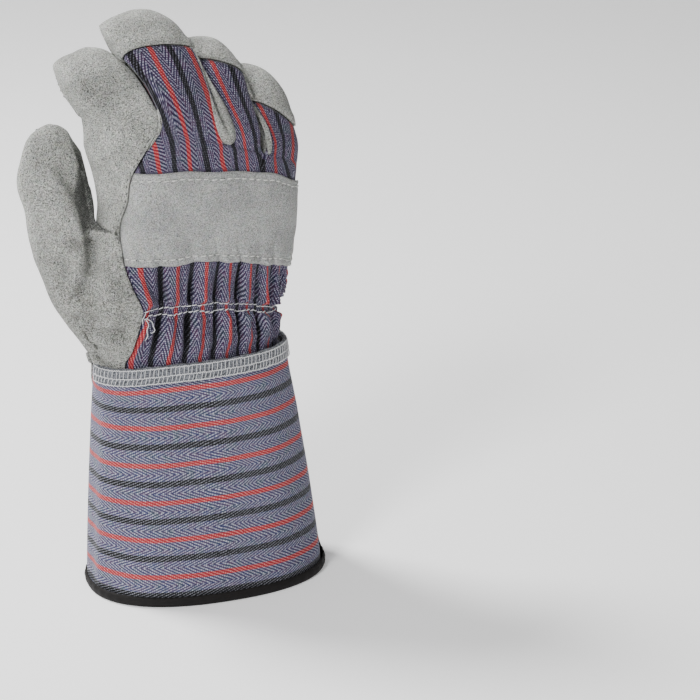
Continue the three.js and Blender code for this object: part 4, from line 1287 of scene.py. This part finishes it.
seams = {"width": 2.6, "depth": 1.15, "clothDepth": 0.7}
pieces = {}


# A sewn edge rolls in: within the seam's width the skin sinks, by the square of how near the edge is
def edgeSink(points, rim, width, depth):
    return depth * np.clip(1 - rimDistance(points, rim) / width, 0, 1)**2


def pieceCorners(name):
    return np.concatenate([quadsOf(index[grid]) for grid in pieceGrids[name].split()])


sink = np.zeros(len(skin))
for name in pieceGrids:
    corners = pieceCorners(name)
    used = np.unique(corners)
    rim = np.setdiff1d(np.unique(rimOf(corners)), rimPoints)
    depth = seams["clothDepth"] if name == "backCloth" else seams["depth"]
    sink[used] = np.maximum(sink[used], edgeSink(skin[used], skin[rim], seams["width"], depth))
sewnSkin = skin - normals * sink[:, None]

# each piece's material, slot, node and wall in mm; the strips are cut from thinner leather
leatherNodes = {
    "palmLeather": "palm_leather", "middleFinger": "middle_finger_front",
    "ringFinger": "ring_finger_front", "indexLeather": "index_back_leather",
    "thumbLeather": "thumb_back_leather", "middleCap": "fingertip_middle",
    "ringCap": "fingertip_ring", "littleCap": "fingertip_little",
    "indexMiddleStrip": "fourchette_index_middle", "middleRingStrip": "fourchette_middle_ring",
    "ringLittleStrip": "fourchette_ring_little",
}
finishes = {name: (splitSuede, "suede_leather", node, 1.4 if name.endswith("Strip") else 1.5)
            for name, node in leatherNodes.items()}
finishes["backCloth"] = (handTwill, "striped_cloth", "back_fabric", 1.1)


def gridUv(name):
    uv = clothUvs[name]
    return uv.reshape(-1, 2)[netCorners(*uv.shape[:2])]


# The leather lies over the cloth with raw edges, so it stands proud there
overlap = {"height": 0.9, "full": 3.0, "reach": 8.0}
overCloth = {
    "indexLeather": np.concatenate([index["indexRoot"][:, -1], index["indexBack"][:-4, -1]]),
    "thumbLeather": index["indexHeel"][:, -1],
}
for name in ("middleCap", "ringCap", "littleCap"):
    overCloth[name] = np.intersect1d(pieceCorners(name), pieceCorners("backCloth"))
leatherTop = sewnSkin.copy()
for name, gridNames in pieceGrids.items():
    material, slotName, node, thickness = finishes[name]
    corners = pieceCorners(name)
    used, local = np.unique(corners, return_inverse=True)
    points = sewnSkin[used].copy()
    if name in overCloth:
        off = rimDistance(skin[used], skin[overCloth[name]])
        lift = smooth((overlap["reach"] - off) / (overlap["reach"] - overlap["full"]))
        points = points + normals[used] * (sink[used] + overlap["height"])[:, None] * lift[:, None]
        leatherTop[used] = points
    cornerUv = None
    if name == "backCloth":
        cornerUv = np.concatenate([gridUv(grid) for grid in gridNames.split()])
    points, corners, cornerUv = walled(points, local.reshape(corners.shape), -normals[used], thickness,
                                       cornerUv)
    pieces[name] = dress(meshObject(name, points, corners, material, cornerUv), slotName, node)
    # each piece carries the painted shade in its point attribute shade, on both faces of its wall
    values = pieces[name].data.attributes.new("shade", "FLOAT", "POINT").data
    values.foreach_set("value", np.tile(shade[used], 2).astype(np.float32))
print("leather and cloth of the hand:", len(pieces), "pieces")

# The strips between the fingers are pulled up at the back, where each shows as a leaf of leather
# over the cloth. Given for each are its two fingers and its rows: mm from the crotch along the
# fingers, the leaf's left and right edge in mm from the line between the two fingers, how deep it is
# grooved, and how far across the groove lies.
welts = {"height": 2.1, "edgeSink": 0.6, "grooveWidth": 0.14, "wall": 1.2, "fullWidth": 3.5, "below": 14}
weltNames = "along left right groove at"
weltShapes = {
    "middleRingWelt": ((1, 2), [
        [-0.4, 1.0, 2.0, 0, 0.5], [0.4, -1.3, 4.0, 0, 0.5], [1.2, -3.0, 5.6, 0, 0.5],
        [2.6, -4.5, 7.0, 0.3, 0.5], [4.8, -5.2, 7.8, 1.6, 0.5],
        [8.8, -5.3, 8.2, 4.2, 0.42], [13.2, -4.4, 8.0, 4.6, 0.34],
        [17.6, -3.4, 7.0, 3.0, 0.3], [22, -2.8, 6.2, 1.6, 0.3],
        [26.4, -2.6, 5.0, 0.6, 0.4], [31, -2.4, 3.6, 0, 0.5],
        [34, -2.0, 1.6, 0, 0.5]]),
    "ringLittleWelt": ((2, 3), [
        [-1.2, 2.2, 2.6, 0, 0.5], [0.4, 1.2, 3.6, 0, 0.5], [2.2, 0.4, 4.5, 0.2, 0.5],
        [4.4, 0.2, 5.0, 0.4, 0.5], [8.8, 1.0, 6.0, 0.5, 0.5],
        [13.2, 1.2, 5.8, 0.5, 0.5], [17.6, 0.2, 4.2, 0.2, 0.5],
        [24, -1.2, 1.6, 0, 0.5]]),
    "indexMiddleWelt": ((0, 1), [
        [-11, 0.7, 1.0, 0, 0.5], [-8, 0.0, 1.5, 0, 0.5], [-3, -0.3, 2.0, 0, 0.5],
        [2, -0.5, 1.6, 0, 0.5], [7, -0.5, 0.2, 0, 0.5]]),
}


def twoFingers(pair):  # the nets left and right of the line between two fingers, and their crotch's row
    below = int(welts["below"] / gridStep)
    nets = []
    for number in pair:
        net = index[fingerWords[number] + "Back"]
        if number == 0:
            root = index["indexRoot"][-below - 1:]
        else:
            first = sum(index[name].shape[1] - 1 for _, name in clothFingers[:number - 1])
            root = index["back"][-below - 1:, first:first + net.shape[1]]
        nets.append(np.concatenate([root, net[1:]]))
    return nets, below


def weltPiece(name, pair, table):
    (left, right), crotchRow = twoFingers(pair)
    share = stepsOver(abs(table[-1, 0] - table[0, 0]) * 2)
    s = named(weltNames, curveThrough(table, share * (len(table) - 1)))
    width = stepsOver(20)
    rows = crotchRow + s["along"][:, None] / gridStep + 0 * width
    leftAt, rightAt = [np.broadcast_to(s[edge][:, None], rows.shape) for edge in ("left", "right")]

    def onSkin(offset):
        onLeft = [sampled(values[left], rows, left.shape[1] - 1 + offset / gridStep)
                  for values in (skin, normals)]
        onRight = [sampled(values[right], rows, offset / gridStep) for values in (skin, normals)]
        chosen = (offset > 0)[..., None]
        return [np.where(chosen, onRight[k], onLeft[k]) for k in (0, 1)]

    (start, startUp), (end, endUp) = onSkin(leftAt), onSkin(rightAt)
    # between its edges the leaf bulges like a pillow, with a bell-shaped groove along it
    pillow = 1 - np.abs(2 * width - 1)**3
    groove = s["groove"][:, None] * np.exp(-((width - s["at"][:, None]) / welts["grooveWidth"])**2)
    narrow = smooth((rightAt - leftAt) / welts["fullWidth"])
    up = unit(mix(startUp, endUp, width[None, :, None]))
    height = (welts["height"] * pillow[None] - groove) * narrow - welts["edgeSink"] * (1 - pillow)
    points = mix(start, end, width[None, :, None]) + up * height[..., None]
    piece = meshObject(name, points, netCorners(*points.shape[:2]), splitSuede)
    addWall(piece, welts["wall"])
    return dress(piece, "suede_leather")


for name, (pair, table) in weltShapes.items():
    weltPiece(name, pair, np.array(table))
print("welts between the fingers")

# The knuckle strap, over the back cloth

strap = {"thickness": 1.5, "lift": 1.7, "tuck": 4.0, "tuckLift": 0.2, "edgeRoll": 0.5, "edgeWidth": 1.2,
         "topRow": 3.6, "bottomRow": 4.2, "groove": 0.6, "grooveWidth": 1.0, "waves": 0.5,
         "waveStep": 1.1, "waveReach": 12}


def strapPiece():  # returns the lines of its two rows of stitches
    used = (clothPlaces >= row["strapLow"]) & (clothPlaces <= row["strapHigh"])
    net = clothNet[used]
    tucked = smooth(np.arange(net.shape[1]) * gridStep / strap["tuck"])
    points = skin[net] + normals[net] * mix(strap["tuckLift"], strap["lift"], tucked)[None, :, None]
    gap = np.linalg.norm(np.diff(points, axis=0), axis=2).mean()
    height = np.arange(len(net))[:, None] * gap
    top = height[-1, 0]
    # the two cut edges run a little unevenly
    reach = np.arange(net.shape[1]) * strap["waveStep"]
    uneven = strap["waves"] * (np.sin(reach / 9.0) + 0.6 * np.sin(reach / 4.1 + 2))
    upwards = unit(np.gradient(points, axis=0))
    nearTop = smooth(1 - (top - height) / strap["waveReach"])
    nearBottom = smooth(1 - height / strap["waveReach"])
    points = points + upwards * (uneven * nearTop + uneven[::-1] * nearBottom)[..., None]
    groove = (np.exp(-((top - height - strap["topRow"]) / strap["grooveWidth"])**2)
              + np.exp(-((height - strap["bottomRow"]) / strap["grooveWidth"])**2))
    points = points - normals[net] * (strap["groove"] * groove)[..., None]
    corners = netCorners(*net.shape)
    flatPoints = points.reshape(-1, 3)
    rolled = edgeSink(flatPoints, flatPoints[np.unique(rimOf(corners))], strap["edgeWidth"],
                      strap["edgeRoll"])
    flatPoints = flatPoints - normals[net].reshape(-1, 3) * rolled[:, None]
    piece = meshObject("knuckleStrap", flatPoints, corners, strapSuede)
    addWall(piece, strap["thickness"])
    dress(piece, "strap_leather", "knuckle_strap")
    return [sewnLine(points, normals[net], [at, at], [0.5, net.shape[1] - 2])
            for at in (strap["bottomRow"] / gap, len(net) - 1 - strap["topRow"] / gap)]


# Kinds of stitches, in mm: each fills a share of its pitch, lies lift over the surface and arches up
# in its middle, and strays to the side by jitter at random and by slant from end to end
stitchNames = "pitch fill points lift arch radius sides jitter slant"
leatherStitch, strapStitch, holeShadeStitch, shirrStitch = [dict(zip(stitchNames.split(), values)) for values in (
    [3.9, 0.4, 4, 0.05, 0.2, 0.24, 5, 0.1, 0.2],
    [4.2, 0.74, 6, 0.0, 0.5, 0.36, 6, 0.12, 0.3],
    [4.2, 0.3, 4, 0.05, 0.2, 0.3, 5, 0.1, 0.2],
    [3.1, 0.9, 6, 0.18, 0.45, 0.28, 6, 0.25, 0.6])]

# Rows of dark stitches in the leather. Given for each are its net, and where it starts and ends on
# it, in mm from the net's first row and first column, or from its last ones if negative
leatherRows = [
    ["indexRoot", 1, -3.6, -1, -3.6],
    ["indexHeel", -14, -3.6, -1, -3.6],
    ["thumbFront", 2, -3.8, -9, -3.8],
    ["indexFront", -26, -3.4, -7, -4.5],
    ["middleFront", -30, 3.2, -6, 4.2],
    ["ringFront", -28, 3.2, -6, 4.2],
    ["littleFront", 4, 3.2, -6, 4.2],
    ["middleFront", 3.2, 2, 3.2, -2],
    ["ringFront", 3.2, 2, 3.2, -2],
    ["palm", -3.0, 18, -3.0, 78],
    ["patch", 2, 3.4, 32, 3.4],
    ["patch", 2, -3.4, 26, -3.4],
    ["patch", 3.2, 4, 3.2, -4],
    ["patch", 25.5, 3, 25.5, -3],
    ["patch", 29.0, 3, 29.0, -3],
]


def leatherSeams():
    lines = []
    for name, row0, column0, row1, column1 in leatherRows:
        net = index[name]
        ends = np.array([[row0, row1], [column0, column1]]) / gridStep
        rows, columns = np.where(ends < 0, np.array(net.shape)[:, None] - 1 + ends, ends)
        lines.append(sewnLine(leatherTop[net], normals[net], rows, columns))
    return sewn("leatherStitches", lines, leatherStitch, darkThreadAndHoleShade)


leatherSeams()

# the strap's thread goes down into holes, painted as shade by short dark threads a little off from
# the stitches' middles
strapLines = strapPiece()
sewn("strapStitches", strapLines, strapStitch, paleThread)
sewn("paintedHoleShade", [[part[20:] for part in line] for line in strapLines], holeShadeStitch, darkThreadAndHoleShade)


def clothRow(place):  # the row of the back cloth's nets at a place of the hand
    return np.interp(place, clothPlaces, np.arange(len(clothPlaces)))


# Rows of white stitches that gather the back cloth
def shirring():
    share = np.linspace(0, 1, 60)
    lines = []
    for number, key in enumerate(("lowRow", "highRow")):
        wander = gather["wander"] * (np.sin(share * 31 + number * 2) + 0.6 * np.sin(share * 67))
        rows = clothRow(gather[key]) + wander / gridStep
        columns = share * (clothNet.shape[1] - 4) + 1
        lines.append(sewnLine(skin[clothNet], normals[clothNet], rows, columns))
    return sewn("shirringStitches", lines, shirrStitch, whiteThread)


shirringRows = shirring()


# Their loose thread ends at the thumb's side: the row of stitches each comes from, and in mm how far
# from the cloth's edge it starts, how far it runs up and to the side, and how far it lifts off
threadEnds = [["lowRow", 2, -10.5, 1.6, 1.5], ["lowRow", 2.5, -8.0, 4.2, 2.2],
              ["highRow", 1.5, -6.5, -1.0, 1.2]]
endThread = {"radius": 0.22, "sides": 6}


def looseEnds():
    net = index["back"]
    share = np.linspace(0, 1, 14)
    runs = []
    for key, column, upwards, aside, lift in threadEnds:
        rows = clothRow(gather[key]) + upwards * share / gridStep
        columns = (column + aside * np.sin(share * 2.2) + 0.5 * np.sin(share * 9)) / gridStep
        on = sampled(skin[net], rows, columns)
        up = unit(sampled(normals[net], rows, columns))
        runs.append([(on + up * (0.3 + lift * np.sin(share * pi * 0.8))[:, None])[None], up[None]])
    return threads("looseThreads", runs, endThread, whiteThread)


looseThreads = looseEnds()
print("strap and shirring")

# Cuff, lining and binding

cuffLook = {"ripple": 0.5, "foldHeight": 0.7, "foldAngle": 197, "foldWidth": 7,
            "lap": 0.7, "lapWidth": 1.0, "lapReach": 26, "lapZ": 80.0,
            "middle": [-4.0, 1.5, 0], "breadthToDepth": 1.6,
            "redHeight": 16.4}  # mm from the hem's edge to the middle of the lowest red stripe


def cuffTurn(points):  # the direction of a point from the cuff's middle, in degrees
    x, y, _ = np.moveaxis(points - cuffLook["middle"], -1, 0)
    return np.degrees(np.arctan2(y * cuffLook["breadthToDepth"], x)) % 360


# The cloth stands nearly flat, with slow ripples round it and the ridge of an old fold at the
# thumb's side
def cuffWaves(angle, z):
    ripple = cuffLook["ripple"] * (np.sin(np.radians(angle) * 5 + z / 60)
                                   + 0.6 * np.sin(np.radians(angle) * 11 + 1.3 - z / 40))
    off = (angle - cuffLook["foldAngle"]) / cuffLook["foldWidth"]
    # above the slit one end of the cloth laps over the other, and the step runs up to the patch
    past = angle - cuffTurn(cuffPoint(cuff["apexAngle"], cuffLook["lapZ"]))
    lap = smooth(past / cuffLook["lapWidth"]) * smooth(1 - past / cuffLook["lapReach"])
    lap = lap * smooth((z - cuff["apexZ"] - 2) / 6)
    return ripple + cuffLook["foldHeight"] * np.exp(-off**2) + cuffLook["lap"] * lap


def cuffPiece(name, top, out, material, thickness, slotName, node):
    points, z = cuffGrid(cuff["foldRoom"], top, 0.0)
    angle = cuffTurn(points)
    corners = netCorners(*points.shape[:2])
    flatPoints = points.reshape(-1, 3)
    outwards = pointNormals(flatPoints, corners).reshape(points.shape)
    moved = points + outwards * (out + cuffWaves(angle, z))[..., None]
    uv = np.stack([z - cuffLook["redHeight"], runAlong(points[0]) + 0 * z], axis=-1).reshape(-1, 2)
    piece = meshObject(name, moved, corners, material, uv[corners])
    addWall(piece, thickness)
    return dress(piece, slotName, node)


def onCuff(angle, z):  # points on the cuff's cloth, with their outward directions
    points = cuffPoint(angle, z)
    outwards = unit(cuffPoint(angle, z, 5.0) - points)
    return points + outwards * cuffWaves(cuffTurn(points), z)[..., None], outwards


# The side seam above the slit, with two rows of dark stitches, ends in a white bar tack
sideSeam = {"low": 67, "middle": 90, "high": 112, "rows": [-1.6, 2.6], "tackAbove": 1.6, "tackWidth": 4.4,
            "tackHeight": 1.5, "turns": 6, "tackThread": {"radius": 0.2, "sides": 6}}


def sideSeamStitches():
    scale = slitScale(sideSeam["middle"])
    z = np.linspace(sideSeam["low"], sideSeam["high"], 200)
    lines = [onCuff(cuff["apexAngle"] + off / scale + 0 * z, z) for off in sideSeam["rows"]]
    return sewn("cuffSeamStitches", lines, leatherStitch, darkThreadAndHoleShade)


def barTack():
    scale = slitScale(cuff["apexZ"])
    share = np.linspace(-0.5, 0.5, 9)
    z = (cuff["apexZ"] + sideSeam["tackAbove"]
         + np.arange(sideSeam["turns"]) / sideSeam["turns"] * sideSeam["tackHeight"])
    angle = cuff["apexAngle"] + share * sideSeam["tackWidth"] / scale
    points, outwards = onCuff(angle[None, :] + 0 * z[:, None], z[:, None] + 0.25 * share[None, :])
    arch = 0.5 - 1.6 * np.abs(share)**3
    return threads("slitBarTack", [(points + outwards * arch[None, :, None], outwards)],
                   sideSeam["tackThread"], whiteThread)


sideSeamStitches()
barTack()
pieces["cuffCloth"] = cuffPiece("cuffCloth", cuff["height"], 0.0, cuffTwill, cuff["shownCloth"],
                                "striped_cloth", "cuff")
pieces["cuffLining"] = cuffPiece("cuffLining", cuff["liningTop"], cuff["liningOut"], liningTwill,
                                 cuff["shownLining"], "lining_cloth", "cuff_lining")


# A section carried along a route. ends holds the faces that close its two ends, and inwards says
# that the section runs the other way round, so that its faces have to be turned.
def carried(name, points, ends, material, inwards=False):
    stations, count = points.shape[:2]
    ends = np.array(ends)
    corners = np.concatenate([netCorners(stations, count, closed=True), ends,
                              ends[:, ::-1] + (stations - 1) * count])
    return meshObject(name, points, corners[:, ::-1] if inwards else corners, material)


binding = {"width": 5.6, "startBelowApex": 2.2, "wall": 1.0, "puff": 0.35}


# The tape's section is a U that folds over the cloth's edge, carried down the slit's front edge,
# round the hem and up the back edge
def hemBinding():
    scale = slitScale(0)
    startZ = cuff["apexZ"] - binding["startBelowApex"]
    share = stepsOver(50)
    legZ = mix(startZ, cuff["frontCorner"], share)
    front = np.stack([slitEdges(legZ, 0.0)[0], legZ], axis=-1)
    first, last = slitEdges(0.0, 0.0)
    around = mix(first, last, stepsOver(cuff["wayRound"])[1:-1])
    z = hemHeight((around - first) * scale, (last - around) * scale)
    hem = np.stack([around, z], axis=-1)
    legZ = mix(cuff["backCorner"], startZ, share)
    back = np.stack([slitEdges(legZ, 0.0)[1], legZ], axis=-1)
    route = np.concatenate([front, hem, back])
    flatRoute = route * [scale, 1]
    run = unit(np.gradient(flatRoute, axis=0))
    into = np.stack([-run[:, 1], run[:, 0]], axis=-1)
    onHem = (flatRoute[:, 1] < 0.01)[:, None]
    into = np.where(onHem, [0.0, 1.0], into)
    outside = 2.5 * cuff["gap"]
    inside = -(cuff["clothWall"] + cuff["liningWall"] + 5 * cuff["gap"])
    wall, width, puff = [binding[key] for key in ("wall", "width", "puff")]
    section = np.array([
        [outside + wall * 0.4, width], [outside + wall, width - 0.5],
        [outside + wall + puff, width * 0.55], [outside + wall, 1.4], [outside + wall * 0.6, 0.35],
        [outside - 0.4, 0.0], [inside + 0.4, 0.0], [inside - wall * 0.6, 0.35],
        [inside - wall, 1.4], [inside - wall - puff * 0.5, width * 0.55], [inside - wall, width - 0.5],
        [inside - wall * 0.4, width], [inside, width - 0.3], [inside, 1.6], [outside, 1.6],
        [outside, width - 0.3]])
    depth = section[:, 1]
    angle = (flatRoute[:, None, 0] + into[:, None, 0] * depth[None]) / scale
    height = flatRoute[:, None, 1] + into[:, None, 1] * depth[None]
    ripple = 0.12 * np.sin(np.arange(len(route)) * 0.9)[:, None] * (depth > 1)[None]
    points = cuffPoint(angle, height, section[None, :, 0] + ripple)
    ends = [[0, 1, 15, 15], [1, 2, 14, 15], [2, 3, 14, 14], [3, 4, 14, 14], [4, 5, 6, 14],
            [6, 7, 13, 14], [7, 8, 13, 13], [8, 9, 13, 13], [9, 10, 12, 13], [10, 11, 12, 12]]
    piece = carried("hemBinding", points, ends, bindingTape, inwards=True)
    return dress(piece, "binding_tape", "hem_binding")


pieces["hemBinding"] = hemBinding()

# The overlocked edge at the cuff's top

band = {"low": 121.8, "lip": 1.2, "thickness": 1.1, "startAngle": 186, "endAngle": 379}


def overlockBand():
    top = cuff["height"] + cuff["gap"] + band["lip"]
    profile = np.array([[0.1, band["low"]], [band["thickness"] * 0.8, band["low"] + 0.2],
                        [band["thickness"], band["low"] + 1.0], [band["thickness"] + 0.2, 126],
                        [band["thickness"], top - 1.0], [band["thickness"] * 0.6, top - 0.2],
                        [-0.2, top], [-1.0, top - 0.4], [-1.2, top - 0.9], [0.05, top - 1.0]])
    angles = mix(band["startAngle"], band["endAngle"], stepsOver(170))
    sag = 0.25 * np.sin(angles * 0.35) + 0.15 * np.sin(angles * 0.93)
    out = profile[None, :, 0] + cuff["gap"] + sag[:, None] * 0.3
    points = cuffPoint(angles[:, None], profile[None, :, 1] + sag[:, None], out)
    ends = [[0, 1, 2, 9], [2, 3, 4, 9], [4, 5, 9, 9], [5, 6, 7, 9], [7, 8, 9, 9]]
    return dress(carried("cuffTopEdge", points, ends, edgeCloth), "overlocked_edge", "cuff_top_edge")


pieces["cuffTopEdge"] = overlockBand()

# Threads of the overlock: three chains run along the band, and two rows of bars cross it
overlock = {"pitch": 2.2, "heights": [122.6, 126.3, 130.6], "lean": [0.5, 0.22], "lift": 0.3,
            "barArch": 0.25, "barStray": 0.2, "chainArch": 0.35, "chainStray": 0.1, "chainFill": 0.62,
            "topSunk": 0.45,
            "chainThread": {"radius": 0.24, "sides": 5}, "barThread": {"radius": 0.17, "sides": 5}}


def onBand(angle, z, out):  # points over the band, with their outward directions
    surface, outer, raised = [cuffPoint(angle, z, cuff["gap"] + band["thickness"] + off)
                              for off in (0.0, 5.0, out)]
    return raised, unit(outer - surface)


def overlockThreads():
    angles = np.linspace(band["startAngle"] + 1.0, band["endAngle"] - 1.0, 400)
    run = runAlong(cuffPoint(angles, 126))
    count = int(run[-1] / overlock["pitch"])
    share = np.linspace(0, 1, 6)
    bars, chains = [], []
    for number, lean in enumerate(overlock["lean"]):
        low, high = overlock["heights"][number:number + 2]
        at = (np.arange(count)[:, None] + rng.normal(0, 0.1, (count, 1))
              + lean * (share - 0.5)) * overlock["pitch"]
        z = mix(low, high, share)[None, :] + rng.normal(0, overlock["barStray"], (count, 1))
        out = overlock["lift"] + overlock["barArch"] * np.sin(pi * share)
        bars.append(onBand(np.interp(at, run, angles), z, out))
    chainAt = (np.arange(count * 2)[:, None] * overlock["pitch"] / 2
               + share * overlock["pitch"] * overlock["chainFill"])
    for number, height in enumerate(overlock["heights"]):
        z = (height + 0.22 * np.sin(chainAt * 5.2 + number)
             + rng.normal(0, overlock["chainStray"], (len(chainAt), 1)))
        out = (overlock["lift"] + overlock["chainArch"] * np.sin(pi * share)
               - (overlock["topSunk"] if number == 2 else 0))
        chains.append(onBand(np.interp(chainAt, run, angles), z, out))
    return [threads("overlockBars", bars, overlock["barThread"], whiteThread),
            threads("overlockChains", chains, overlock["chainThread"], whiteThread)]


overlockPieces = overlockThreads()
print("cuff, lining, binding and its top edge")

# Floor, light and camera

scene = bpy.context.scene


def plainPaper():  # matt white paper roll: even, bright, no pattern the eye can find
    material, tree = newMaterial("mattPaperRoll")
    place = put(tree, "TexCoord", out="Object")
    noise = put(tree, "TexNoise", {"Vector": place, "Scale": 3.0, "Detail": 1.0})
    colour = put(tree, "MixRGB", [noise, srgb("#F4F4F4"), srgb("#F8F8F8")])
    shader = put(tree, "BsdfPrincipled", {"Base Color": colour, "Roughness": 0.9,
                                          "Specular IOR Level": 0.1, "Emission Color": srgb("#FFFFFF"),
                                          "Emission Strength": 0.22})
    put(tree, "OutputMaterial", {"Surface": shader}, out=None)
    return material


sweep = {"front": -2500, "bend": 1800, "radius": 900, "top": 2600, "halfWidth": 3500}


def stageFloor():  # a pale sheet that runs back and curves up behind, far outside the glove
    turn = np.linspace(0.1, pi / 2, 16)
    flatDepth = np.linspace(sweep["front"], sweep["bend"], 12)
    depth = np.concatenate([flatDepth, sweep["bend"] + sweep["radius"] * np.sin(turn)])
    rise = np.concatenate([0 * flatDepth, sweep["radius"] * (1 - np.cos(turn))])
    rise[-1] = sweep["top"]
    x, y = np.meshgrid(np.linspace(-sweep["halfWidth"], sweep["halfWidth"], 9), depth)
    points = np.stack([x, y, rise[:, None] + 0 * x], axis=-1)
    return meshObject("floor", points + gloveMiddle, netCorners(*x.shape), plainPaper())


stageFloor()


# Puts a light or the camera at its place, looking at the target
def aim(name, data, place, target):
    item = bpy.data.objects.new(name, data)
    item.location = place
    item.rotation_euler = (Vector(target) - Vector(place)).to_track_quat("-Z", "Y").to_euler()
    scene.collection.objects.link(item)
    return item


lightTarget, roomLight = (0, 0, 0.14), 0.25
lights = {  # place and size in metres, power in watts
    "key": ((-1.05, -0.85, 1.2), 0.5, 26),
    "front": ((-0.3, -1.7, 0.45), 1.2, 7),
    "behind": ((-0.6, 0.75, 1.4), 0.5, 42),
}
for name, (place, size, power) in lights.items():
    data = bpy.data.lights.new(name, "AREA")
    data.shape = "DISK"
    data.size = size
    data.energy = power
    aim(name, data, place, lightTarget)
world = bpy.data.worlds.new("softRoom")
scene.world = world
world.use_nodes = True
world.node_tree.nodes["Background"].inputs["Color"].default_value = srgb("#FFFFFF")
world.node_tree.nodes["Background"].inputs["Strength"].default_value = roomLight

camera = {"place": (-0.40399, -1.30587, 0.62622), "target": (0.101143, 0.010047, 0.113186),
          "lens": 140.26, "sensor": 36.0}
scene.camera = aim("camera", bpy.data.cameras.new("camera"), camera["place"], camera["target"])
scene.camera.data.lens = camera["lens"]
scene.camera.data.sensor_width = camera["sensor"]

print("ready")
